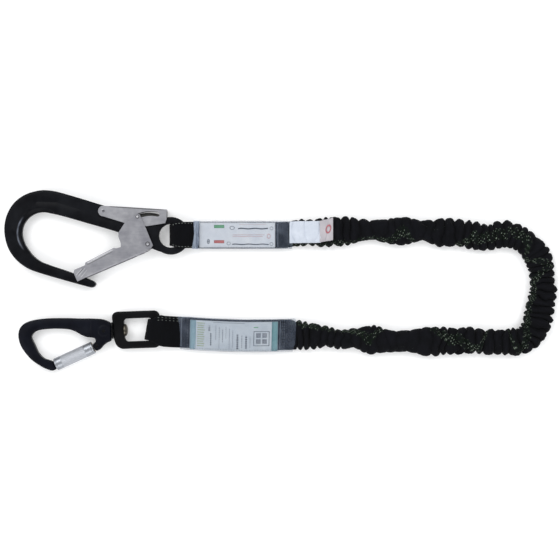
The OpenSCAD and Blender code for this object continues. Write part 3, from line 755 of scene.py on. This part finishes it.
lower_rows = []
for off in (2.2, 5.6):
    lower_rows.append(at_lower([(x, lower_mid(x) + lower_half(x) - off, top_of(lower_line, x) + 0.3)
                                for x in np.linspace(-14, 16, 16)]))
swivel_stitches = stitch_rows("loop_stitches_swivel", lower_rows, DIM_THREAD, 4.3, 2.1, 0.9, 0.8)
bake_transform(swivel_stitches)

# Bar tacks that hold the plies together inside each sleeve
tacks = []
for x in np.linspace(48, 144, 9):
    tacks.append([(x, WEB_Y - 14.5, 8.7), (x, WEB_Y + 14.5, 8.7)])
upper_tacks = stitch_rows("bar_tacks_hook", tacks, FILM_THREAD, 1.5, 1.3, 1.4, 0.7)
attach(upper_tacks, "lanyard")
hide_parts("upper_stitching")
tacks = []
for x in np.linspace(16, 147, 11):
    tacks.append(at_lower([(x, -17.5, 8.7), (x, 17.5, 8.7)]))
lower_tacks = stitch_rows("bar_tacks_swivel", tacks, FILM_THREAD, 1.5, 1.3, 1.4, 0.7)
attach(lower_tacks, "lanyard")
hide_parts("lower_stitching")

# ---------- clear sleeves ----------


def film_tube(name, x0, x1, half_w, low, top, lift, slope, frame_of, seed, skew=0.0):
    """Soft flattened tube of film; its first end opens up over the webbing loop."""
    rows, cols = 150, 64
    verts = []
    for i in range(rows):
        u = i / (rows - 1)
        x = x0 + (x1 - x0) * u
        near0, near1 = max(0.0, 1 - (x - x0) / slope), max(0.0, 1 - (x1 - x) / 14)
        h_top = top + (lift - top) * near0 ** 1.3
        mid, half_h = (low + h_top) / 2, (h_top - low) / 2
        for k in range(cols):
            a = 2 * math.pi * k / cols
            c, d = math.cos(a), math.sin(a)
            across = half_w * math.copysign(abs(c) ** 0.34, c)
            z = mid + half_h * math.copysign(abs(d) ** 0.42, d)
            drift = 2.5 * wander(x * 0.1, across * 0.08, seed=seed)
            creases = 0.55 * (near0 + 0.8 * near1) * math.sin(x * 1.5 + drift)
            z += (0.35 * wander(x * 0.06, across * 0.09, seed=seed) + 0.4 * creases) * max(0.0, d)
            across += 0.35 * wander(x * 0.07, d, seed=seed + 2) * c
            ends = near0 + near1
            edge = skew * across / half_w * (near0 - near1) + 2.4 * (1 - (across / half_w) ** 2) * ends
            verts.append((x + edge + 0.5 * wander(across * 0.1, d, seed=seed + 4) * ends, across, z))
    o = piece(name, frame_of(np.array(verts)), grid_faces(rows, cols, True), [FILM])
    shell = o.modifiers.new("film", "SOLIDIFY")
    shell.thickness = 0.0005
    shell.offset = -1
    return o


upper_sleeve = film_tube("clear_sleeve_hook", 31.5, 161.5, 18.7, 0.5, 11.5, 19.6, 12.5,
                         lambda p: p + [0, WEB_Y + 0.3, 0], 1.0, 1.2)
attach(upper_sleeve, "lanyard")
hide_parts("upper_sleeve")
lower_sleeve = film_tube("clear_sleeve_swivel", 12.5, 165.5, 22.0, 0.5, 11.5, 12.6, 8,
                         lambda p: at_lower(p - [0, 0.6, 0]), 2.0, -1.6)
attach(lower_sleeve, "lanyard")
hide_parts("lower_sleeve")

rows = []
for side in (-1, 1):
    y = WEB_Y + 0.3 + side * 16.9
    rows.append([(x, y, 11.5) for x in np.linspace(47, 160, 20)])
rows.append([(157.5, WEB_Y + 0.3 + v, 11.6) for v in np.linspace(-16, 16, 8)])
upper_seams = stitch_rows("sleeve_seams_hook", rows, FILM_THREAD, 3.4, 2.2, 0.5, 0.5)
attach(upper_seams, "lanyard")
rows = []
for side in (-1, 1):
    rows.append(at_lower([(x, side * 19.9, 11.5) for x in np.linspace(20, 163, 20)]))
for x in (24.5, 149.5, 152.5):
    rows.append(at_lower([(x, v, 11.6) for v in np.linspace(-19, 19, 8)]))
lower_seams = stitch_rows("sleeve_seams_swivel", rows, FILM_THREAD, 3.4, 2.2, 0.55, 0.5)
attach(lower_seams, "lanyard")

# ---------- labels ----------


class Card:
    """A thin card with raised print; colours are numbers into its materials."""

    def __init__(self, x0, x1, y0, y1, z, seed, frame_of):
        self.size, self.z, self.seed, self.frame_of = (x0, x1, y0, y1), z, seed, frame_of
        self.parts = []
        nx, ny = 60, 16
        top = [(x, y, self.height(x, y)) for x in np.linspace(x0, x1, nx) for y in np.linspace(y0, y1, ny)]
        low = [(x, y, z - 0.5) for x, y, z in top]
        faces = [f[::-1] for f in grid_faces(nx, ny)] + grid_faces(nx, ny, start=nx * ny)
        rim = ([i * ny for i in range(nx)] + [(nx - 1) * ny + k for k in range(1, ny)]
               + [i * ny + ny - 1 for i in range(nx - 2, -1, -1)] + list(range(ny - 2, 0, -1)))
        for a, b in zip(rim, rim[1:] + rim[:1]):
            faces.append((a, a + nx * ny, b + nx * ny, b))
        self.parts.append((top + low, [f[::-1] for f in faces], 0))

    def height(self, x, y):
        return self.z + 0.16 * wander(x * 0.05, y * 0.07, seed=self.seed)

    def block(self, x0, y0, x1, y1, colour, wave=0.0):
        """A printed bar, bent into a slow wave where wave is given."""
        n = max(2, int(abs(x1 - x0) / 2))
        m = max(2, int(abs(y1 - y0) / 2))
        pts = []
        for level in (0.1, -0.2):
            for x in np.linspace(x0, x1, n):
                for y in np.linspace(y0, y1, m):
                    yy = y + wave * math.sin((x - x0) * 0.35)
                    pts.append((x, yy, self.height(x, yy) + level))
        faces = [f[::-1] for f in grid_faces(n, m)]
        rim = ([i * m for i in range(n)] + [(n - 1) * m + k for k in range(1, m)]
               + [i * m + m - 1 for i in range(n - 2, -1, -1)] + list(range(m - 2, 0, -1)))
        for a, b in zip(rim, rim[1:] + rim[:1]):
            faces.append((a, b, b + n * m, a + n * m))
        self.parts.append((pts, faces, colour))

    def ring(self, x, y, rx, ry, thick, colour):
        n = 28
        pts, faces = [], []
        for k in range(n + 1):
            a = 2 * math.pi * k / n
            for r in (1 - thick, 1.0):
                px, py = x + rx * r * math.cos(a), y + ry * r * math.sin(a)
                pts.append((px, py, self.height(px, py) + 0.1))
        for k in range(n):
            faces.append((2 * k, 2 * k + 1, 2 * k + 3, 2 * k + 2))
        self.parts.append((pts, faces, colour))

    def make(self, name, mats):
        moved = [(self.frame_of(np.array(p, float)), f, c) for p, f, c in self.parts]
        return joined(name, moved, mats)


UPPER_INKS = [CARD, GREEN, RED, INK, ROSE, GREY_INK]
card = Card(39.4, 140.5, WEB_Y - 16.6, WEB_Y + 16.8, 10.3, 1.0, lambda p: p)
card.block(59.5, 68.8, 73, 73.0, 1)
card.block(59.5, 48.7, 73, 52.7, 2)
card.ring(52, 51, 2.0, 3.3, 0.45, 5)
card.block(50.6, 50, 53.4, 52, 5)
card.ring(83.5, 69.0, 3.4, 2.5, 0.28, 5)
card.block(91.5, 67.3, 131, 68.9, 3, 0.35)
card.ring(135.6, 68.4, 2.4, 2.4, 0.3, 5)
card.block(93, 73.2, 129, 73.6, 4)
card.block(84, 59.6, 126, 60.2, 4)
card.block(84, 57.4, 124, 58.2, 4, 0.25)
card.ring(132, 58, 2.6, 3.4, 0.4, 4)
card.ring(78.8, 48.4, 2.6, 2.4, 0.3, 5)
card.block(83.5, 46.6, 132, 48.0, 3, 0.3)
card.ring(135.6, 47.6, 2.4, 2.4, 0.3, 5)
upper_label = card.make("printed_label_hook", UPPER_INKS)
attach(upper_label, "lanyard")
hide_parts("upper_label")

LOWER_INKS = [PALE_CARD, CYAN, TEAL, OLIVE, GREEN, INK, GREY_INK]
card = Card(27.5, 144, -19.5, 19.5, 10.3, 2.0, lambda p: at_lower(p - [0, 1.7, 0]))
card.block(27.7, -19.3, 35.4, 19.3, 1)
card.block(34.2, -19.2, 34.7, 19.2, 0)
for i in range(11):
    card.block(37 + 0.5 * (i % 2), 16.5 - 3.0 * i, 47 - 0.8 * (i % 3), 15.2 - 3.0 * i, 3)
for x, y0, y1, wide, colour in (
    (52, 6, 13, 2.4, 6), (54.5, -13, 3, 1.6, 5), (61.5, -5, 15, 0.7, 6), (66, -17, 12, 0.8, 6),
    (70.5, -8, 9, 1.0, 6), (75, -3, 12, 0.7, 6), (79.5, -17, 10, 0.8, 6), (84, -15, 8, 0.7, 6),
    (89.5, -17, 3, 2.4, 5), (96, -15, 2, 1.0, 6), (101, -16, 1, 2.4, 5), (107, -15, 0, 0.8, 6),
):
    length, y = 1.6, y0
    while y < y1:
        end = min(y1, y + length + 1.3 * abs(wander(x, y, seed=9)))
        card.block(x, y, x + wide, end, colour)
        y = end + 0.9
card.block(58, 17.2, 100, 17.8, 6)
card.block(112, 11.5, 118, 12.6, 4)
FRAME = ((112, -12.6, 133, -11.9), (112, 6.3, 133, 7.0), (112, -12.6, 112.8, 7), (132.2, -12.6, 133, 7))
for x0, y0, x1, y1 in FRAME:
    card.block(x0, y0, x1, y1, 5)
for x0, y0 in ((115.5, -9.6), (123.6, -9.6), (115.5, -1.6), (123.6, -1.6)):
    card.block(x0, y0, x0 + 6, y0 + 6, 6)
card.block(135.9, -19.3, 143.8, 19.3, 2)
lower_label = card.make("printed_label_swivel", LOWER_INKS)
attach(lower_label, "lanyard")
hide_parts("lower_label")

# ---------- white cloth label and its tab, laid over the strap ----------


def cloth(name, corner_x, corner_y, base, mats, wrinkle, droop, seed, nx=70, ny=48):
    """Crinkled cloth between a left and a right edge; corner_y gives (low, high) at each end."""
    verts, lay = [], []
    for i in range(nx):
        u = i / (nx - 1)
        x = corner_x[0] + (corner_x[1] - corner_x[0]) * u
        y0 = corner_y[0][0] + (corner_y[1][0] - corner_y[0][0]) * u
        y1 = corner_y[0][1] + (corner_y[1][1] - corner_y[0][1]) * u
        for k in range(ny):
            v = k / (ny - 1)
            y = y0 + (y1 - y0) * v + 0.35 * wander(x * 0.35, v * 2, seed=seed)
            fold = abs(math.sin(x * 0.21 + 3.0 * wander(x * 0.06, v * 0.9, seed=seed + 1)))
            z = base(x) + wrinkle * (fold ** 0.7 - 0.5) + 0.4 * wander(x * 0.2, v * 5, seed=seed + 2)
            z -= droop * abs(2 * v - 1) ** 3.2
            verts.append((x, y, z))
            # The third number is the painted shade value, low in the fold valleys.
            lay.append((x, y, 0.3 + 0.7 * fold ** 0.6 + 0.35 * wander(x * 0.12, v * 3, seed=seed + 5)))
    o = piece(name, verts, [f[::-1] for f in grid_faces(nx, ny)], mats, lay=lay)
    shell = o.modifiers.new("thickness", "SOLIDIFY")
    shell.thickness = 0.0005
    shell.offset = -1
    return o


def flap_height(x):
    return float(np.interp(x, [160, 168, 175, 200], [13.2, 16.2, 19.3, 20.2]))


flap = cloth("white_cloth_label", (159.5, 200.5), ((48.6, 77.6), (49.0, 77.9)), flap_height, [WHITE_CLOTH],
             1.3, 2.8, 3.0)
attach(flap, "lanyard")
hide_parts("white_flap")

tab = cloth("marker_cloth_tab", (199.2, 216.8), ((49.6, 77.9), (52.5, 82.4)), lambda x: 20.7, [TAB_CLOTH],
            0.5, 2.2, 5.0)
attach(tab, "lanyard")
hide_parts("marker_tab")

mark = []
for r_in, r_out in ((0.66, 1.0),):
    pts, faces = [], []
    for k in range(41):
        a = 2 * math.pi * k / 40
        for r in (r_in, r_out):
            e = np.array([3.5 * r * math.cos(a), 6.0 * r * math.sin(a)])
            t = math.radians(-14)
            x = 210.6 + e[0] * math.cos(t) - e[1] * math.sin(t)
            y = 67.2 + e[0] * math.sin(t) + e[1] * math.cos(t)
            pts.append((x, y, 21.45))
        if k:
            faces.append((2 * k - 2, 2 * k - 1, 2 * k + 1, 2 * k))
    mark.append((pts, faces, 0))
red_mark = joined("plain_red_ring", mark, [MARK_RED])
thick = red_mark.modifiers.new("thickness", "SOLIDIFY")
thick.thickness = 0.0012
thick.offset = -1
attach(red_mark, "lanyard")

# ---------- scaffold hook ----------

hook, p = forged("hook_body", "hook_forging", BLACK, 0.65, 12)
local = p - HOOK
BOWL = [-169, 3.5]
BOWL_R = 27.7
from_bowl = np.linalg.norm(local[:, :2] - BOWL, axis=1)
face = np.clip((np.abs(local[:, 2]) - 4.0) / 2.0, 0, 1)
inner = np.clip(1 - (from_bowl - BOWL_R) / 6.0, 0, 1) * (from_bowl > 27)
inner = inner * np.clip((-150 - local[:, 0]) / 14, 0, 1)
flute_line = [(-176, 45), (-150, 44), (-124, 36), (-98, 26), (-80, 20)]
flute = np.clip(1 - from_line(local, flute_line) / 7.0, 0, 1) ** 2
CROWN_LINE = [(-205, 5), (-195, -24), (-175, -42), (-140, -52), (-112, -61)]
crown = 0.5 * np.clip(1 - from_line(local, CROWN_LINE) / 8, 0, 1)
bead = np.exp(-((from_bowl - 33.2) / 0.8) ** 2) * np.clip((-186 - local[:, 0]) / 6, 0, 1)
local[:, 2] -= np.sign(local[:, 2]) * face * (3.0 * inner + 0.9 * flute - crown * 0.8 - 0.45 * bead)
neck = np.interp(local[:, 0], [-128, -97.5], [7.5, 5.5])
near = (local[:, 0] > -128) & (local[:, 0] < -90) & (local[:, 1] > -10)
local[near, 2] = np.clip(local[near, 2], -neck[near], neck[near])
bore = np.hypot(local[:, 0] + 61.5, local[:, 2])
wall = (bore < 3.6) & (local[:, 1] > 21)
local[wall] += (local[wall] - [-61.5, 0, 0]) * [1, 0, 1] * (np.maximum(3.5 / bore[wall], 1) - 1)[:, None]
local[(bore < 3.6) & (local[:, 1] > 18) & (local[:, 1] < 21), 1] -= 2.8
reshaped(hook, local + HOOK)
# Painted highlight: a thin arc along the inner bevel of the bowl, coloured lighter to stand in for a
# highlight there.
highlight_line = np.exp(-((from_bowl - 32.8) / 0.75) ** 2) * (local[:, 2] > 3)
highlight_line *= np.clip((-192 - local[:, 0]) / 4, 0, 1) * np.clip((local[:, 1] + 20) / 8, 0, 1)
highlight_line *= np.clip((26 - local[:, 1]) / 8, 0, 1)
hook.data.attributes.new("highlight_line", "FLOAT", "POINT").data.foreach_set("value", highlight_line.astype(np.float32))
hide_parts("hook_body")
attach(hook, "scaffold_hook")

gate = softened("hook_gate", "pressed_gate", ZINC, 0.45)
lever = softened("lock_lever", "pressed_lever", LEVER, 0.45)
lever.data.materials.append(SHADED_INSIDE)
# Painted shade: the inner faces of the two lever plates take the darker material.
for face in lever.data.polygons:
    face.material_index = int(abs(face.normal.z) > 0.5 and abs(face.center.z / MM - HOOK[2]) < 7.0)


def ridge(a, b, width, height, z, n=14):
    """A rounded ridge pressed in sheet, from a to b in plan, on the face at z; z below 0 hangs down."""
    a, b = np.array(a, float), np.array(b, float)
    along = (b - a) / np.linalg.norm(b - a)
    side = np.array([-along[1], along[0]])
    s = 1 if z > 0 else -1
    pts = []
    for i in range(n):
        t = i / (n - 1)
        taper = math.sqrt(max(0.02, 1 - (2 * t - 1) ** 6))
        for k in range(9):
            c = math.cos(math.pi * k / 8)
            q = a + (b - a) * t + side * c * width / 2 * taper
            pts.append((q[0], q[1], z + s * (height * taper * math.sin(math.pi * k / 8) - 0.25)))
    faces = grid_faces(n, 9) + [tuple(i * 9 for i in range(n))[::-1] + tuple(i * 9 + 8 for i in range(n))]
    faces += [tuple(range(9)), tuple((n - 1) * 9 + k for k in range(9))[::-1]]
    return at_hook(pts), faces, 0


GATE_FACE = 9.5
# Painted light on the gate: the lips take the lighter material as painted highlight, the thin creases the
# darker one as painted shade.
press = []
for z in (GATE_FACE, -GATE_FACE):
    press.append((*ridge((-74.6, -17.9), (-111.0, -36.8), 2.8, 0.9, z)[:2], 1))
    press.append((*ridge((-74.6, -20.3), (-111.4, -39.4), 1.5, 0.5, z)[:2], 2))
    press.append((*ridge((-112, -42.5), (-121.5, -54.0), 1.7, 0.7, z)[:2], 1))
    press.append((*ridge((-114.0, -42.6), (-123.2, -53.0), 1.0, 0.42, z)[:2], 2))
    press.append((*ridge((-116.2, -43.2), (-124.6, -52.6), 1.3, 0.6, z)[:2], 1))
    press.append((*ridge((-109.5, -45.0), (-118.0, -55.2), 1.2, 0.6, z)[:2], 1))
    press.append((*ridge((-28, -18.6), (-119, -57.6), 1.9, 0.4, z)[:2], 0))
pressings = joined("gate_pressings", press, [ZINC, LIT_LIP, SHADED_CREASE])
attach(pressings, "hook_gate")

LEVER_FACE = 7.7
press = []
for z in (LEVER_FACE, -LEVER_FACE):
    press.append((*ridge((-84, 38.7), (-6.5, 33.8), 1.5, 0.4, z)[:2], 0))
# Painted shade: a thin dark sheet across the slot of the lower plate, standing in for the shade seen through
# the slot.
pts = []
for k in range(25):
    a = math.radians(117 - 2.0 * k)
    for r, z in ((35.1, -5.75), (41.8, -5.75), (41.8, -6.0), (35.1, -6.0)):
        pts.append((-30 + r * math.cos(a), -11 + r * math.sin(a), z))
press.append((at_hook(pts), [f[::-1] for f in tube_faces(25, 4)], 1))
lever_edges = joined("lever_fold_and_slot_shade", press, [LEVER_EDGE, SHADED_INSIDE])
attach(lever_edges, "lock_lever")


def turned_part(name, profile, centre, material, body, sides=40):
    """Turned shape about Z from (radius, height) pairs, and its mirror below."""
    parts = []
    for s in (1, -1):
        pts = [(r * math.cos(2 * math.pi * k / sides), r * math.sin(2 * math.pi * k / sides), s * z)
               for r, z in profile for k in range(sides)]
        faces = tube_faces(len(profile), sides)
        parts.append((np.array(pts) + centre, faces if s > 0 else [f[::-1] for f in faces], 0))
    o = joined(name, parts, [material])
    sharp_by_angle(o, 50)
    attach(o, body)
    return o


def rivet_piece(name, node, x, y, shank, head, seat, body, rise, inner, outer, foot=0.0):
    """A low domed rivet head with a small dimple, on both faces; the rim has its own finish."""
    dome = ((1, 0.45), (0.86, 0.85), (0.6, 1), (0.34, 0.96), (0.26, 0.6))
    o = turned_part(name, [
        (shank, foot), (shank, seat - 0.2), (head, seat - 0.1),
        *((head * r, seat + rise * h) for r, h in dome), (0.05, seat + rise * 0.5),
    ], HOOK + [x, y, 0], inner, body)
    o.data.materials.append(outer)
    for face in o.data.polygons:
        off = (np.array(face.center) / MM - HOOK - [x, y, 0])[:2]
        face.material_index = int(math.hypot(*off) > 0.62 * head)
    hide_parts(node)
    return o


rivet_piece("gate_rivet", "gate_pivot_rivet", -30, -11, 2.9, 3.2, 9.55,
            "scaffold_hook", 0.45, WIRE, LEVER_EDGE)
rivet_piece("lever_rivet", "lever_pivot_rivet", -88.5, 32.5, 2.4, 3.0, 7.7,
            "scaffold_hook", 0.5, LEVER_EDGE, ZINC)
rivet_piece("slot_pin_heads", "slot_pin", -43.5, 25, 1.75, 2.5, 9.52,
            "hook_gate", 1.0, SHINY, LEVER_EDGE, 6.3)

# ---------- carabiner and swivel ----------

arm, p = forged("carabiner_body", "carabiner_arm", BLACK_ARM, 0.6, 9)
local = p - SWIVEL
face = np.clip((np.abs(local[:, 2]) - 3.0) / 2.0, 0, 1)
spine = [(-30, 11), (-60, 10), (-90, 9), (-105, 5), (-113, -7), (-110, -19), (-100, -32), (-88, -43)]
away = from_line(local, spine)
local[:, 2] += np.sign(local[:, 2]) * face * (0.5 - 0.035 * np.clip(away, 0, 14) ** 1.6 * (local[:, 0] < -26))
reshaped(arm, local + SWIVEL)
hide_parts("carabiner_body")
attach(arm, "carabiner")

eye, p = forged("swivel_eye", "swivel_frame", BLACK_EYE, 0.6, 10)
local = p - SWIVEL
lean = np.clip((-local[:, 1] - 4) / 20, 0, 1) ** 1.6 * np.clip((26 - local[:, 0]) / 8, 0, 1)
back = np.clip((local[:, 1] - 6) / 14, 0, 1) * np.clip((13 - local[:, 0]) / 8, 0, 1)
local[:, 0] += 5.2 * lean - 1.2 * back
reshaped(eye, local + SWIVEL)
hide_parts("swivel_eye")
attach(eye, "swivel_link")

X0, X1, R_OUT, R_IN = 5.4, 60.5, 8.35, 6.6
profile = [
    (X0, R_IN), (X0, 7.2), (X0 + 0.25, 7.9), (X0 + 0.9, R_OUT), (X0 + 2.2, R_OUT), (X0 + 2.5, R_OUT - 0.25),
    (X0 + 2.8, R_OUT), (17.2, R_OUT), (17.5, R_OUT - 0.12),
    (50.5, R_OUT - 0.12), (50.8, R_OUT), (X1 - 2.8, R_OUT),
    (X1 - 2.5, R_OUT - 0.25), (X1 - 2.2, R_OUT), (X1 - 0.9, R_OUT), (X1 - 0.25, 7.9), (X1, 7.2), (X1, 4.9),
    (54, 4.9), (54, R_IN),
]
rows_x = []
for (xa, ra), (xb, rb) in zip(profile, profile[1:]):
    n = max(1, int(abs(xb - xa) / 1.0))
    rows_x += [(xa + (xb - xa) * k / n, ra + (rb - ra) * k / n) for k in range(n)]
rows_x.append(profile[-1])
verts, lay, sides = [], [], 96
for x, r in rows_x:
    knurl = 0.10 if 18 < x < 50 and r > 7.8 else 0.0
    for k in range(sides):
        a = 2 * math.pi * k / sides
        rr = r + knurl * math.cos(24 * a) * math.cos(x * 2.0)
        verts.append((x, rr * math.cos(a), rr * math.sin(a)))
        lay.append((x, r * a, 0))
faces = grid_faces(len(rows_x), sides, True)
faces += [((len(rows_x) - 1) * sides + k, (len(rows_x) - 1) * sides + (k + 1) % sides, (k + 1) % sides, k)
          for k in range(sides)]
sleeve = piece("twist_lock_sleeve", at_gate(verts), [f[::-1] for f in faces], [ALLOY], lay=lay)
sharp_by_angle(sleeve, 30)
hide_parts("lock_sleeve")
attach(sleeve, "twist_lock")

# ---------- CAD nodes that stay, with their finishes ----------

KEPT = {
    "hook_gate_spring": WIRE, "lever_spring": WIRE, "gate_spring": WIRE, "sleeve_spring": WIRE,
    "gate_rod": STEEL, "gate_hinge_pin": BLACK_EYE, "gate_pushrod": STEEL, "sleeve_bush": BRONZE,
    "swivel_pin": DARK_STEEL, "swivel_cross_pin": BLACK_EYE, "swivel_washer": BLACK_EYE,
}
for node, material in KEPT.items():
    me = NODES[node].data
    me.materials.clear()
    me.materials.append(material)
    me.polygons.foreach_set("material_index", np.zeros(len(me.polygons), np.int32))
me = NODES["swivel_pin"].data
me.materials.append(BLACK_EYE)
for face in me.polygons:
    at = NODES["swivel_pin"].matrix_world @ face.center
    face.material_index = int(at.x / MM < SWIVEL[0] + 14)

# ---------- floor and light ----------

floor_shade = Shade("floor", Specular_IOR_Level=0.1, Roughness=0.9, Emission_Strength=0.24)
tone = floor_shade.noise(floor_shade.place(), 3.0, 2)
floor_shade.b.inputs["Emission Color"].default_value = (1, 1, 1, 1)
floor_shade.color(floor_shade.mix(tone, (0.80, 0.80, 0.80), (0.83, 0.83, 0.83)))
FLOOR = [(-3000, -3000, 0), (3200, -3000, 0), (3200, 3000, 0), (-3000, 3000, 0)]
floor = piece("floor", FLOOR, [(0, 1, 2, 3)],
              [floor_shade.m], smooth=False)

world = bpy.data.worlds.new("studio")
world.use_nodes = True
world.node_tree.nodes["Background"].inputs["Color"].default_value = (0.96, 0.98, 1.0, 1)
world.node_tree.nodes["Background"].inputs["Strength"].default_value = 0.55
bpy.context.scene.world = world

TARGET = Vector((0.15, 0, 0))
for name, place, size, power in (
    ("key", (-0.9, 1.3, 1.9), 1.6, 27), ("fill", (1.6, 0.9, 1.7), 1.6, 18),
    ("front", (0.2, -1.9, 1.5), 1.8, 20),
    ("side", (-1.7, -0.8, 1.4), 1.4, 14),
):
    lamp = bpy.data.lights.new(name, "AREA")
    lamp.shape = "DISK"
    lamp.size = size
    lamp.energy = power
    o = bpy.data.objects.new(name, lamp)
    o.location = place
    o.rotation_mode = "QUATERNION"
    o.rotation_quaternion = (TARGET - Vector(place)).to_track_quat("-Z", "Y")
    bpy.context.scene.collection.objects.link(o)
